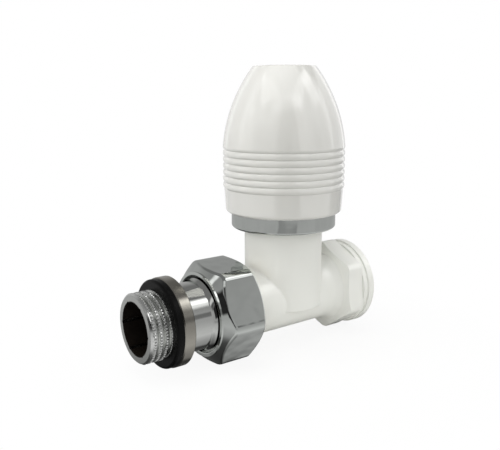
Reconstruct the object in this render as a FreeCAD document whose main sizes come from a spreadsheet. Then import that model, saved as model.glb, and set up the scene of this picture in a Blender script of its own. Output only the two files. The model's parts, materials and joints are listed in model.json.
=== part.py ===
import FreeCAD, Part
import math
import os
import Sketcher
from FreeCAD import Vector

# Manual radiator valve, straight pattern, half inch. Millimetres.
# The origin is on the tail's axis in the plane of the seal's front face, which seats on the radiator.
# +X runs from the tail to the inlet, +Z runs up along the spindle.

SIZES = [
    # Tail and its seal
    ("tail_thread_diameter", 20.955, "outside diameter of the half-inch tail thread"),
    ("tail_thread_length", 6.7, "thread in front of the seal"),
    ("tail_end_chamfer", 0.7, "bevel on the thread's end"),
    ("tail_bore_diameter", 15.9, "waterway through the tail"),
    ("key_socket_flats", 14.7, "across the flats of the socket for a hexagon key"),
    ("key_socket_depth", 11.0, "length of that socket"),
    ("key_corner_radius", 0.15, "rounding in that socket's corners"),
    ("seal_thickness", 2.3, "rubber ring on the tail"),
    ("seal_diameter", 26.7, "outside of the rubber ring"),
    ("seal_edge_radius", 0.8, "rounding of the rubber ring's front edge"),
    ("backing_thickness", 3.6, "metal ring behind the rubber"),
    ("backing_diameter", 27.2, "outside of that ring"),
    ("backing_edge", 0.3, "bevel on that ring's edges"),
    ("thread_relief", 0.55, "depth of the relief behind the thread, which the rubber ring snaps into"),
    ("ring_clearance", 0.03, "radial fit of both rings on the tail"),
    ("neck_length", 7.1, "plain neck between backing ring and flare"),
    ("flare_length", 1.6, "curved rise from the neck to the shoulder"),
    ("shoulder_length", 3.1, "shoulder that the nut turns on"),
    ("collar_thickness", 2.6, "tail collar that the nut pulls on"),
    ("nose_length", 1.5, "conical nose that seals in the body"),
    # Union nut
    ("union_thread_diameter", 26.441, "outside diameter of the three-quarter-inch union thread"),
    ("thread_clearance", 0.08, "radial room between the two union threads"),
    ("nut_wall", 1.5, "nut wall at the middle of a flat"),
    ("nut_length", 15.0, "overall length of the nut"),
    ("nut_corner_radius", 3.4, "rounding of the nut's six corners"),
    ("nut_front_wall", 3.0, "wall that catches the tail collar"),
    ("nut_lip_width", 1.2, "raised lip round the nut's hole"),
    ("nut_lip_height", 0.6, "how far the lip stands out of the cone"),
    ("nut_cone_slope", 0.74, "axial rise of the front cone for each unit of radius"),
    ("nut_rear_slope", 0.62, "axial rise of the rear bevel for each unit of radius"),
    ("nut_turn_angle", 5.0, "rest angle of the nut's top flat"),
    ("nut_front_radius", 1.2, "polished rounding where the flats meet the front cone"),
    ("nut_rear_radius", 0.5, "polished rounding where the flats meet the rear bevel"),
    ("collar_side_room", 0.75, "radial room round the tail collar in the nut"),
    ("collar_catch", 0.55, "radial overlap of collar and nut"),
    ("nut_hole_room", 0.72, "radial room round the shoulder in the nut's hole"),
    ("neck_step", 0.66, "radial step from neck to shoulder"),
    ("face_gap", 0.08, "axial room between faces that meet in the union"),
    # Body, outside
    ("outlet_length", 27.7, "body's outlet face to the valve's axis"),
    ("union_head_length", 8.8, "threaded head of the body"),
    ("union_head_chamfer", 0.9, "bevels on that head"),
    ("pipe_diameter", 21.4, "outlet pipe"),
    ("barrel_diameter", 25.5, "upright barrel"),
    ("barrel_height", 24.6, "pipe axis to the barrel's top"),
    ("barrel_ball", 5.5, "pipe axis to the centre of the ball that ends the barrel inside the pipe"),
    ("barrel_foot", 2.2, "pipe axis down to the barrel's flat foot, which shows on both sides of the pipe"),
    ("crease_radius", 0.7, "casting fillet between barrel and pipe"),
    ("flare_land", 0.9, "plain pipe between barrel and inlet flare"),
    ("inlet_length", 29.3, "valve's axis to the inlet end"),
    ("flare_end", 16.9, "valve's axis to the top of the inlet flare"),
    ("flare_top_diameter", 24.0, "inlet flare where it meets the hexagon"),
    ("inlet_rear_slope", 0.42, "axial rise of the hexagon's rear face for each unit of radius"),
    ("inlet_hexagon_end", 24.3, "valve's axis to the end of the inlet hexagon"),
    ("inlet_rim_start", 26.2, "valve's axis to the start of the end collar"),
    ("inlet_flats", 27.2, "across the flats of the inlet hexagon"),
    ("inlet_turned_diameter", 30.4, "turned corners of the inlet hexagon"),
    ("inlet_turn_angle", 5.0, "angle of that hexagon's front flat"),
    ("inlet_band_diameter", 28.6, "band between hexagon and end collar"),
    ("inlet_rim_diameter", 29.6, "end collar"),
    ("inlet_rim_edge", 0.7, "bevel on the end collar"),
    # Body, waterway
    ("outlet_bore_diameter", 14.0, "waterway in the outlet"),
    ("union_cone_depth", 2.8, "depth of the conical seat in the outlet's mouth"),
    ("union_cone_gap", 0.1, "room between the nose and that seat"),
    ("inlet_thread_bore", 18.631, "inside diameter of the half-inch inlet thread"),
    ("inlet_thread_depth", 13.0, "length of the inlet thread"),
    ("inlet_mouth_bevel", 1.0, "countersink at the inlet's mouth"),
    ("web_thickness", 3.0, "web that carries the seat"),
    ("passage_wall", 1.8, "metal between neighbouring waterways"),
    ("orifice_diameter", 9.0, "hole through the seat"),
    ("seat_lip_width", 1.4, "raised seat round that hole"),
    ("seat_lip_height", 0.8, "height of the raised seat"),
    ("barrel_wall", 2.35, "barrel wall round the bonnet's thread"),
    ("bonnet_bore_depth", 12.6, "depth of the bonnet's thread in the barrel"),
    ("bonnet_shoulder", 1.4, "ledge that the bonnet seal lies on"),
    # Bonnet and gland
    ("screw_fit", 0.03, "radial fit of screwed pieces that stay put"),
    ("running_fit", 0.06, "radial fit of pieces that turn or slide"),
    ("rest_gap", 0.04, "axial room between faces that rest on each other"),
    ("bonnet_seal_thickness", 1.2, "flat ring under the bonnet"),
    ("collar_overlap", 0.8, "how far the chrome collar drops over the barrel"),
    ("collar_floor", 0.8, "collar's floor, clamped under the bonnet"),
    ("collar_diameter", 34.0, "chrome collar"),
    ("collar_wall", 1.4, "wall of the chrome collar"),
    ("collar_height", 10.8, "overall height of the chrome collar"),
    ("collar_edge_radius", 0.8, "rounding of the collar's lower edge"),
    ("bonnet_flats", 24.0, "across the flats of the bonnet's hexagon"),
    ("bonnet_flange", 5.0, "height of that hexagon"),
    ("spanner_corner_radius", 0.5, "rounding of the bonnet's and gland's corners"),
    ("bonnet_neck_wall", 2.0, "wall of the bonnet's neck"),
    ("bonnet_neck_height", 6.4, "neck above the hexagon"),
    ("recess_room", 0.7, "axial room above the holder when the valve is open"),
    ("recess_wall", 2.1, "bonnet wall round that recess"),
    ("gland_bore_depth", 8.2, "depth of the gland in the bonnet"),
    ("gland_flats", 16.0, "across the flats of the gland nut"),
    ("gland_head", 4.0, "height of the gland nut's hexagon"),
    ("thrust_thickness", 1.0, "thrust washer"),
    ("seal_section", 1.78, "section of the two spindle seals"),
    ("seal_groove_room", 0.06, "room round a seal in its groove"),
    ("seal_spacing", 3.0, "distance between the two spindle seals"),
    ("gland_seal_wall", 1.15, "gland nut wall outside a seal groove"),
    # Spindle and disc
    ("valve_lift", 4.5, "travel from closed to open"),
    ("stem_diameter", 8.0, "plain part of the spindle"),
    ("spindle_thread_diameter", 10.0, "lifting thread of the spindle"),
    ("pivot_diameter", 6.4, "spindle end that swivels in the disc holder"),
    ("pivot_edge", 0.4, "bevel on the pivot's end"),
    ("drive_flats", 6.2, "across the flats of the square drive"),
    ("drive_length", 11.0, "length of the square drive"),
    ("drive_corner_radius", 0.3, "rounding of the square's corners"),
    ("washer_thickness", 2.5, "seat washer"),
    ("washer_overlap", 0.7, "seat washer beyond the raised seat"),
    ("washer_reveal", 1.0, "seat washer that shows below its holder"),
    ("holder_wall", 1.1, "rim of the disc holder"),
    ("holder_plate", 3.0, "holder between washer and pivot"),
    ("holder_tube_wall", 2.2, "wall of the holder's socket"),
    ("holder_tube_height", 5.2, "height of the holder's socket"),
    ("clip_thickness", 0.8, "snap ring on the pivot"),
    ("clip_depth", 0.8, "how deep the snap ring enters the pivot and its socket"),
    ("clip_height", 1.6, "snap ring above the socket's floor"),
    ("clip_opening", 70.0, "angle that the snap ring leaves open"),
    ("washer_screw_diameter", 3.0, "screw that holds the seat washer"),
    ("washer_screw_head", 5.2, "head of that screw"),
    ("washer_screw_head_height", 1.6, "height of that head"),
    # Handwheel
    ("collar_reveal", 5.1, "chrome collar that shows below the handwheel"),
    ("skirt_room", 0.5, "radial room between collar and skirt"),
    ("skirt_wall", 1.4, "skirt wall at the lower edge"),
    ("skirt_rise", 6.7, "lower edge to the lowest valley, less the edge's rounding"),
    ("skirt_taper", 0.4, "how much the skirt widens upwards"),
    ("skirt_edge_radius", 1.0, "rounding of the lower edge"),
    ("rib_count", 6, "ribs round the handwheel"),
    ("rib_pitch", 2.056, "height of one rib"),
    ("rib_depth", 0.36, "height of a rib above its valleys"),
    ("brow_height", 0.9, "rounded brow above the top valley"),
    ("dome_height", 24.9, "brow to the flat top"),
    ("dome_radius", 47.0, "curve of the dome in section"),
    ("top_diameter", 20.4, "flat top"),
    ("top_edge", 0.25, "bevel round the flat top"),
    ("shell_wall", 2.2, "wall of the dome"),
    ("hub_height", 18.1, "lower edge of the handwheel to its hub"),
    ("hub_wall", 3.0, "hub wall round the square"),
    ("shell_roof", 4.6, "solid roof under the flat top"),
    ("hub_web", 3.0, "web under the handwheel screw"),
    ("handwheel_screw_diameter", 3.9, "screw into the spindle"),
    ("handwheel_screw_length", 9.0, "length of that screw in the spindle"),
    ("screw_tip_room", 0.5, "hole below that screw's tip"),
    ("handwheel_screw_head", 7.2, "head of that screw"),
    ("handwheel_screw_head_height", 2.6, "height of that head"),
    ("screw_slot_width", 0.9, "driver slot"),
    ("screw_slot_depth", 1.1, "depth of the driver slot"),
    ("screw_washer_thickness", 0.8, "washer under the handwheel screw"),
    ("well_diameter", 10.0, "well for the handwheel screw"),
    ("cap_diameter", 16.2, "cap in the flat top"),
    ("cap_thickness", 1.5, "cap's disc"),
    ("cap_plug_length", 4.0, "cap's plug in the well"),
]

doc = FreeCAD.newDocument("radiator_valve")
sheet = doc.addObject("Spreadsheet::Sheet", "Sheet")
for row, (alias, value, note) in enumerate(SIZES, start=1):
    sheet.set(f"A{row}", alias)
    sheet.set(f"B{row}", str(value))
    sheet.set(f"C{row}", note)
    sheet.setAlias(f"B{row}", alias)
doc.recompute()


def cell(alias):
    """The expression that reads one size from the sheet."""
    return f"Sheet.{alias}"


def half(expression):
    """Half of a size, as a radius from a diameter."""
    return f"({expression}) / 2"


def plus(*terms):
    """The sum of some expressions."""
    return "(" + " + ".join(terms) + ")"


def minus(first, *rest):
    """The first expression less all the others."""
    return "(" + " - ".join((first,) + rest) + ")"


def number(expression):
    """What an expression comes to now."""
    result = sheet.evalExpression(expression)
    return float(getattr(result, "Value", result))


# Radii that follow from the sizes

TAIL_R = half(cell("tail_thread_diameter"))
TAIL_BORE_R = half(cell("tail_bore_diameter"))
RELIEF_R = minus(TAIL_R, cell("thread_relief"))
RING_BORE_R = plus(TAIL_R, cell("ring_clearance"))
SEAL_BORE_R = plus(RELIEF_R, cell("ring_clearance"))
UNION_R = half(cell("union_thread_diameter"))
NUT_BORE_R = plus(UNION_R, cell("thread_clearance"))
NUT_FLATS = f"2 * ({NUT_BORE_R} + Sheet.nut_wall)"
TAIL_COLLAR_R = minus(NUT_BORE_R, cell("collar_side_room"))
NUT_HOLE_R = minus(TAIL_COLLAR_R, cell("collar_catch"))
SHOULDER_R = minus(NUT_HOLE_R, cell("nut_hole_room"))
NECK_R = minus(SHOULDER_R, cell("neck_step"))
OUTLET_BORE_R = half(cell("outlet_bore_diameter"))
OUTLET_MOUTH_R = plus(OUTLET_BORE_R, cell("union_cone_depth"))
PIPE_R = half(cell("pipe_diameter"))
BARREL_R = half(cell("barrel_diameter"))
FLARE_START = plus(BARREL_R, cell("flare_land"))
BONNET_BORE_R = minus(BARREL_R, cell("barrel_wall"))
BONNET_R = minus(BONNET_BORE_R, cell("screw_fit"))
CHAMBER_R = minus(BONNET_BORE_R, cell("bonnet_shoulder"))
ORIFICE_R = half(cell("orifice_diameter"))
SEAT_R = plus(ORIFICE_R, cell("seat_lip_width"))
STEM_R = half(cell("stem_diameter"))
STEM_BORE_R = plus(STEM_R, cell("running_fit"))
SPINDLE_THREAD_R = half(cell("spindle_thread_diameter"))
SPINDLE_BORE_R = plus(SPINDLE_THREAD_R, cell("running_fit"))
SEAL_OUT_R = plus(STEM_BORE_R, cell("seal_section"))
SEAL_GROOVE_R = plus(SEAL_OUT_R, cell("seal_groove_room"))
GLAND_R = plus(SEAL_GROOVE_R, cell("gland_seal_wall"))
GLAND_BORE_R = plus(GLAND_R, cell("screw_fit"))
BONNET_NECK_R = plus(GLAND_BORE_R, cell("bonnet_neck_wall"))
RECESS_R = minus(BONNET_R, cell("recess_wall"))
COLLAR_R = half(cell("collar_diameter"))
COLLAR_INNER_R = minus(COLLAR_R, cell("collar_wall"))
PIVOT_R = half(cell("pivot_diameter"))
SOCKET_R = plus(PIVOT_R, cell("running_fit"))
HOLDER_TUBE_R = plus(SOCKET_R, cell("holder_tube_wall"))
WASHER_R = plus(SEAT_R, cell("washer_overlap"))
HOLDER_RECESS_R = plus(WASHER_R, cell("screw_fit"))
HOLDER_R = plus(HOLDER_RECESS_R, cell("holder_wall"))
WASHER_SCREW_R = half(cell("washer_screw_diameter"))
WASHER_SCREW_HOLE_R = plus(WASHER_SCREW_R, cell("screw_fit"))
SKIRT_INNER_R = plus(COLLAR_R, cell("skirt_room"))
SKIRT_R = plus(SKIRT_INNER_R, cell("skirt_wall"))
VALLEY_R = plus(SKIRT_R, cell("skirt_taper"))
RIB_R = plus(VALLEY_R, cell("rib_depth"))
TOP_R = half(cell("top_diameter"))
HUB_R = plus(STEM_R, cell("hub_wall"))
WELL_R = half(cell("well_diameter"))
CAP_R = half(cell("cap_diameter"))
HANDWHEEL_SCREW_R = half(cell("handwheel_screw_diameter"))
HANDWHEEL_SCREW_HOLE_R = plus(HANDWHEEL_SCREW_R, cell("screw_fit"))

# Stations along the tail and body, from the seal's front face

BACKING_REAR = plus(cell("seal_thickness"), cell("backing_thickness"))
NECK_END = plus(BACKING_REAR, cell("neck_length"))
SHOULDER_START = plus(NECK_END, cell("flare_length"))
TAIL_COLLAR_FRONT = plus(SHOULDER_START, cell("shoulder_length"))
TAIL_COLLAR_REAR = plus(TAIL_COLLAR_FRONT, cell("collar_thickness"))
NUT_FRONT = minus(TAIL_COLLAR_FRONT, cell("face_gap"), cell("nut_front_wall"))
BODY_FACE = plus(TAIL_COLLAR_REAR, cell("face_gap"))
VALVE_X = plus(BODY_FACE, cell("outlet_length"))

# Heights above the pipe's axis, with the valve closed

WEB_TOP = half(cell("web_thickness"))
SEAT_TOP = plus(WEB_TOP, cell("seat_lip_height"))
BARREL_TOP = cell("barrel_height")
BONNET_LEDGE = minus(BARREL_TOP, cell("bonnet_bore_depth"))
BONNET_END = plus(BONNET_LEDGE, cell("bonnet_seal_thickness"))
COLLAR_BOTTOM = minus(BARREL_TOP, cell("collar_overlap"))
FLANGE_SEAT = plus(BARREL_TOP, cell("collar_floor"))
FLANGE_TOP = plus(FLANGE_SEAT, cell("bonnet_flange"))
BONNET_TOP = plus(FLANGE_TOP, cell("bonnet_neck_height"))
THRUST_SEAT = minus(BONNET_TOP, cell("gland_bore_depth"))
GLAND_END = plus(THRUST_SEAT, cell("thrust_thickness"))
LOWER_SEAL = plus(GLAND_END, cell("seal_section"))
UPPER_SEAL = plus(LOWER_SEAL, cell("seal_spacing"))
WASHER_BOTTOM = plus(SEAT_TOP, cell("rest_gap"))
WASHER_TOP = plus(WASHER_BOTTOM, cell("washer_thickness"))
HOLDER_BOTTOM = plus(WASHER_BOTTOM, cell("washer_reveal"))
SOCKET_FLOOR = plus(WASHER_TOP, cell("holder_plate"))
HOLDER_TOP = plus(SOCKET_FLOOR, cell("holder_tube_height"))
CLIP_BOTTOM = plus(SOCKET_FLOOR, cell("clip_height"))
RECESS_TOP = plus(HOLDER_TOP, cell("valve_lift"), cell("recess_room"))
SPINDLE_BOTTOM = plus(SOCKET_FLOOR, cell("rest_gap"))
SPINDLE_THREAD_START = plus(HOLDER_TOP, cell("recess_room"))
SPINDLE_THREAD_END = minus(THRUST_SEAT, cell("valve_lift"), cell("rest_gap"))
HANDWHEEL_BOTTOM = plus(COLLAR_BOTTOM, cell("collar_reveal"))
HUB_BOTTOM = plus(HANDWHEEL_BOTTOM, cell("hub_height"))
SPINDLE_TOP = plus(HUB_BOTTOM, cell("drive_length"))
HUB_WEB_BOTTOM = plus(SPINDLE_TOP, cell("rest_gap"))
HUB_WEB_TOP = plus(HUB_WEB_BOTTOM, cell("hub_web"))
SCREW_SEAT = plus(HUB_WEB_TOP, cell("screw_washer_thickness"))
LOWEST_VALLEY = plus(HANDWHEEL_BOTTOM, cell("skirt_edge_radius"), cell("skirt_rise"))
TOP_VALLEY = plus(LOWEST_VALLEY, "Sheet.rib_count * Sheet.rib_pitch")
DOME_START = plus(TOP_VALLEY, cell("brow_height"))
HANDWHEEL_TOP = plus(DOME_START, cell("dome_height"))
CAP_SEAT = minus(HANDWHEEL_TOP, cell("cap_thickness"))


# Ways of making a piece

def new_body(name, x="0", z="0"):
    """An empty body, labelled with its file's name and placed by two expressions."""
    body = doc.addObject("PartDesign::Body", name)
    body.Label = name
    body.setExpression("Placement.Base.x", x)
    body.setExpression("Placement.Base.z", z)
    return body


def sketch_on(body, name, role, offset="0"):
    """A sketch on one of the body's origin planes, moved along the plane's normal."""
    plane = next(item for item in body.Origin.OriginFeatures if item.Role == role)
    sketch = body.newObject("Sketcher::SketchObject", name)
    sketch.AttachmentSupport = [(plane, "")]
    sketch.MapMode = "FlatFace"
    sketch.setExpression("AttachmentOffset.Base.z", offset)
    return sketch


def bind(sketch, constraint, expression):
    """Adds a constraint whose value is an expression."""
    index = sketch.addConstraint(constraint)
    sketch.setExpression(f"Constraints[{index}]", expression)


def fix_point(sketch, side, end, point):
    """Holds one end of a sketch line at a pair of expressions."""
    origin, horizontal, vertical = -1, -1, -2
    if point[0] == "0":
        sketch.addConstraint(Sketcher.Constraint("PointOnObject", side, end, vertical))
    else:
        bind(sketch, Sketcher.Constraint("DistanceX", origin, 1, side, end, number(point[0])), point[0])
    if point[1] == "0":
        sketch.addConstraint(Sketcher.Constraint("PointOnObject", side, end, horizontal))
    else:
        bind(sketch, Sketcher.Constraint("DistanceY", origin, 1, side, end, number(point[1])), point[1])


def arc_between(first, last, radius, turn):
    """An arc from one point to another, turning left (1) or right (-1) on its way."""
    chord = last - first
    middle = (first + last) * 0.5
    across = Vector(-chord.y, chord.x, 0).normalize()
    reach = math.sqrt(max(radius * radius - chord.Length * chord.Length / 4, 0))
    centre = middle + across * (turn * reach)
    start, stop = (first, last) if turn > 0 else (last, first)
    angles = [math.atan2(end.y - centre.y, end.x - centre.x) for end in (start, stop)]
    return Part.ArcOfCircle(Part.Circle(centre, Vector(0, 0, 1), radius), angles[0], angles[1])


def outline(sketch, points, arcs=None):
    """A closed outline through pairs of expressions.

    A side is straight unless arcs gives its radius and turn, under the index of its first point.
    """
    arcs = arcs or {}
    places = [Vector(number(x), number(y), 0) for x, y in points]
    first_side = sketch.GeometryCount
    ends = []
    for index, place in enumerate(places):
        following = places[(index + 1) % len(places)]
        if index in arcs:
            radius, turn = arcs[index]
            side = sketch.addGeometry(arc_between(place, following, number(radius), turn))
            bind(sketch, Sketcher.Constraint("Radius", side, number(radius)), radius)
            ends.append((1, 2) if turn > 0 else (2, 1))
        else:
            side = sketch.addGeometry(Part.LineSegment(place, following))
            ends.append((1, 2))
    for index, point in enumerate(points):
        side = first_side + index
        before = (index - 1) % len(points)
        joined = (first_side + before, ends[before][1], side, ends[index][0])
        sketch.addConstraint(Sketcher.Constraint("Coincident", *joined))
        fix_point(sketch, side, ends[index][0], point)


def circle(sketch, radius):
    """A circle round the sketch's origin."""
    side = sketch.addGeometry(Part.Circle(Vector(0, 0, 0), Vector(0, 0, 1), number(radius)))
    sketch.addConstraint(Sketcher.Constraint("Coincident", side, 3, -1, 1))
    bind(sketch, Sketcher.Constraint("Radius", side, number(radius)), radius)


def rounded_polygon(sketch, sides, flats, corner, first_normal):
    """A regular polygon with rounded corners, given by its width across flats and one flat's angle."""
    points = []
    arcs = {}
    half_angle = f"{180 / sides} deg"
    for index in range(sides):
        angle = f"(({first_normal}) + {index * 360 / sides}) * 1 deg"
        reach = f"(({flats}) / 2 - {corner}) * tan({half_angle})"
        for sign in ("+", "-"):
            along = "-" if sign == "+" else "+"
            points.append((
                f"({flats}) / 2 * cos({angle}) {sign} {reach} * sin({angle})",
                f"({flats}) / 2 * sin({angle}) {along} {reach} * cos({angle})",
            ))
        arcs[2 * index + 1] = (corner, 1)
    outline(sketch, points, arcs)


def revolve(body, name, points, axis, arcs=None, cut=False):
    """Turns an outline, drawn in the XZ plane, round the X axis (H_Axis) or the Z axis (V_Axis)."""
    sketch = sketch_on(body, name + "_profile", "XZ_Plane")
    outline(sketch, points, arcs)
    feature = body.newObject("PartDesign::Groove" if cut else "PartDesign::Revolution", name)
    feature.Profile = sketch
    feature.ReferenceAxis = (sketch, [axis])
    feature.Angle = 360
    return feature


def extrude(body, name, sketch, length, cut=False, reverse=False):
    """Pads a sketch along its plane's normal, or pockets it the other way."""
    feature = body.newObject("PartDesign::Pocket" if cut else "PartDesign::Pad", name)
    feature.Profile = sketch
    feature.setExpression("Length", length)
    feature.Reversed = reverse
    return feature


def turned_ring(name, inner, outer, thickness, x="0", z="0", axis="V_Axis"):
    """A plain flat ring, with its lower or front face at the given place."""
    body = new_body(name, x, z)
    points = [(inner, "0"), (outer, "0"), (outer, thickness), (inner, thickness)]
    if axis == "H_Axis":
        points = [(along, across) for across, along in points]
    revolve(body, name + "_ring", points, axis)
    return body


def edges_between(shape, first_test, second_test):
    """Names of the edges where a face that passes one test meets a face that passes the other."""
    names = []
    for index, edge in enumerate(shape.Edges, start=1):
        faces = shape.ancestorsOfType(edge, Part.Face)
        if len(faces) < 2:
            continue
        one, two = faces[0], faces[1]
        if (first_test(one) and second_test(two)) or (first_test(two) and second_test(one)):
            names.append(f"Edge{index}")
    return names


def is_turned_round(axis):
    """A test for any cylinder or cone face round an axis direction."""
    def test(face):
        surface = face.Surface
        if not isinstance(surface, (Part.Cylinder, Part.Cone)):
            return False
        return abs(abs(surface.Axis.dot(axis)) - 1) < 1e-6
    return test


def fillet(body, name, radius, first_test, second_test):
    """Rounds every edge where a face that passes one test meets a face that passes the other."""
    doc.recompute()
    names = edges_between(body.Shape, first_test, second_test)
    sharp = body.Tip
    feature = body.newObject("PartDesign::Fillet", name)
    feature.Base = (sharp, names)
    feature.setExpression("Radius", radius)


def is_barrel(face):
    """A test for the barrel's wall and the ball that ends it."""
    upright = is_turned_round(Vector(0, 0, 1))
    return upright(face) or isinstance(face.Surface, Part.Sphere)


# Tail, its seal and backing ring

def make_tailpiece():
    body = new_body("tailpiece", x=f"-{cell('tail_thread_length')}")
    front = cell("tail_thread_length")
    bevel = cell("tail_end_chamfer")
    nose_r = minus(OUTLET_MOUTH_R, cell("union_cone_gap"), cell("face_gap"))
    revolve(body, "tail_turning", [
        ("0", TAIL_BORE_R),
        ("0", minus(TAIL_R, bevel)),
        (bevel, TAIL_R),
        (front, TAIL_R),
        (front, RELIEF_R),
        (plus(front, cell("seal_thickness")), RELIEF_R),
        (plus(front, cell("seal_thickness")), TAIL_R),
        (plus(front, BACKING_REAR), TAIL_R),
        (plus(front, BACKING_REAR), NECK_R),
        (plus(front, NECK_END), NECK_R),
        (plus(front, SHOULDER_START), SHOULDER_R),
        (plus(front, TAIL_COLLAR_FRONT), SHOULDER_R),
        (plus(front, TAIL_COLLAR_FRONT), TAIL_COLLAR_R),
        (plus(front, TAIL_COLLAR_REAR), TAIL_COLLAR_R),
        (plus(front, TAIL_COLLAR_REAR), nose_r),
        (plus(front, TAIL_COLLAR_REAR, cell("nose_length")), minus(nose_r, cell("nose_length"))),
        (plus(front, TAIL_COLLAR_REAR, cell("nose_length")), OUTLET_BORE_R),
        (plus(front, TAIL_COLLAR_FRONT), OUTLET_BORE_R),
        (plus(front, NECK_END), TAIL_BORE_R),
    ], "H_Axis", arcs={9: (f"2 * {cell('flare_length')}", 1)})
    key = sketch_on(body, "key_outline", "YZ_Plane")
    rounded_polygon(key, 6, cell("key_socket_flats"), cell("key_corner_radius"), "30")
    extrude(body, "key_socket", key, cell("key_socket_depth"), cut=True, reverse=True)
    return body


def make_tail_seal():
    body = new_body("tail_seal")
    edge = cell("seal_edge_radius")
    outer = half(cell("seal_diameter"))
    revolve(body, "seal_ring", [
        ("0", SEAL_BORE_R),
        ("0", minus(outer, edge)),
        (edge, outer),
        (cell("seal_thickness"), outer),
        (cell("seal_thickness"), SEAL_BORE_R),
    ], "H_Axis", arcs={1: (edge, -1)})
    return body


def make_seal_backing_ring():
    body = new_body("seal_backing_ring", x=cell("seal_thickness"))
    edge = cell("backing_edge")
    outer = half(cell("backing_diameter"))
    length = cell("backing_thickness")
    revolve(body, "backing_turning", [
        ("0", RING_BORE_R),
        ("0", minus(outer, edge)),
        (edge, outer),
        (minus(length, edge), outer),
        (length, minus(outer, edge)),
        (length, RING_BORE_R),
    ], "H_Axis")
    return body


# Union nut: a hexagon with rounded corners, turned to a cone in front and bevelled behind

def make_union_nut():
    body = new_body("union_nut", x=NUT_FRONT)
    length = cell("nut_length")
    hexagon = sketch_on(body, "nut_hexagon", "YZ_Plane")
    rounded_polygon(hexagon, 6, NUT_FLATS, cell("nut_corner_radius"), f"90 + {cell('nut_turn_angle')}")
    extrude(body, "nut_bar", hexagon, length)
    beyond = f"({NUT_FLATS})"
    lip_r = plus(NUT_HOLE_R, cell("nut_lip_width"))
    lip = cell("nut_lip_height")
    revolve(body, "nut_front_cone", [
        ("0", lip_r),
        (lip, lip_r),
        (f"{lip} + Sheet.nut_cone_slope * ({beyond} - {lip_r})", beyond),
        ("0", beyond),
    ], "H_Axis", cut=True)
    fillet(body, "front_rounding", cell("nut_front_radius"), is_cone, is_side)
    rear_r = plus(NUT_BORE_R, half(cell("nut_wall")))
    revolve(body, "nut_rear_bevel", [
        (length, rear_r),
        (length, beyond),
        (f"{length} - Sheet.nut_rear_slope * ({beyond} - {rear_r})", beyond),
    ], "H_Axis", cut=True)
    fillet(body, "rear_rounding", cell("nut_rear_radius"), is_cone_beyond(length), is_side)
    wall = cell("nut_front_wall")
    rounding = half(lip)
    revolve(body, "nut_bore", [
        ("0", "0"),
        ("0", plus(NUT_HOLE_R, rounding)),
        (rounding, NUT_HOLE_R),
        (wall, NUT_HOLE_R),
        (wall, NUT_BORE_R),
        (length, NUT_BORE_R),
        (length, "0"),
    ], "H_Axis", arcs={1: (rounding, 1)}, cut=True)
    return body


def is_cone(face):
    """A test for the nut's front cone or its rear bevel."""
    return isinstance(face.Surface, Part.Cone)


def is_cone_beyond(length):
    """A test for a cone in the rear half of the nut."""
    middle = number(plus(NUT_FRONT, half(length)))
    return lambda face: is_cone(face) and face.CenterOfMass.x > middle


def is_side(face):
    """A test for the nut's six flats and their rounded corners, whose centres lie off the axis."""
    surface = face.Surface
    if isinstance(surface, Part.Plane):
        return abs(surface.Axis.x) < 1e-6
    return isinstance(surface, Part.Cylinder) and math.hypot(surface.Center.y, surface.Center.z) > 1


# Valve body

def make_valve_body():
    body = new_body("valve_body", x=BODY_FACE)
    axis = cell("outlet_length")
    head = cell("union_head_length")
    bevel = cell("union_head_chamfer")
    flare_top_r = half(cell("flare_top_diameter"))
    corner_r = half(cell("inlet_turned_diameter"))
    hexagon_end = plus(axis, cell("inlet_hexagon_end"))
    rear_rise = f"Sheet.inlet_rear_slope * ({corner_r} - {flare_top_r})"
    band_r = half(cell("inlet_band_diameter"))
    rim_r = half(cell("inlet_rim_diameter"))
    rim_edge = cell("inlet_rim_edge")
    end = plus(axis, cell("inlet_length"))
    revolve(body, "run", [
        ("0", "0"),
        ("0", minus(UNION_R, bevel)),
        (bevel, UNION_R),
        (minus(head, bevel), UNION_R),
        (head, minus(UNION_R, bevel)),
        (head, PIPE_R),
        (plus(axis, FLARE_START), PIPE_R),
        (plus(axis, cell("flare_end")), flare_top_r),
        (plus(axis, cell("flare_end"), rear_rise), corner_r),
        (hexagon_end, corner_r),
        (hexagon_end, band_r),
        (plus(axis, cell("inlet_rim_start")), band_r),
        (plus(axis, cell("inlet_rim_start")), rim_r),
        (minus(end, rim_edge), rim_r),
        (end, minus(rim_r, rim_edge)),
        (end, "0"),
    ], "H_Axis")
    flats = sketch_on(body, "inlet_hexagon", "YZ_Plane", hexagon_end)
    rounded_polygon(
        flats, 6, cell("inlet_flats"), cell("spanner_corner_radius"), f"180 - {cell('inlet_turn_angle')}",
    )
    circle(flats, f"2 * {corner_r}")
    extrude(body, "inlet_flats", flats, minus(cell("inlet_hexagon_end"), cell("flare_end")), cut=True)
    add_barrel(body, axis)
    cut_waterway(body, axis, end)
    return body


def add_barrel(body, axis):
    """The upright barrel, filleted to the pipe while it ends in a ball, then given its flat foot."""
    sketch = sketch_on(body, "barrel_profile", "XZ_Plane")
    ball = cell("barrel_ball")
    outline(sketch, [
        (axis, minus(ball, BARREL_R)),
        (plus(axis, BARREL_R), ball),
        (plus(axis, BARREL_R), BARREL_TOP),
        (axis, BARREL_TOP),
    ], arcs={0: (BARREL_R, 1)})
    barrel = body.newObject("PartDesign::Revolution", "barrel")
    barrel.Profile = sketch
    barrel.ReferenceAxis = (sketch, ["Edge4"])
    barrel.Angle = 360
    fillet(body, "casting_fillet", cell("crease_radius"), is_barrel, is_turned_round(Vector(1, 0, 0)))
    foot = sketch_on(body, "foot_outline", "XY_Plane", f"-{cell('barrel_foot')}")
    centred_circle(foot, BARREL_R, axis)
    extrude(body, "foot", foot, plus(ball, cell("barrel_foot")))


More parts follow.
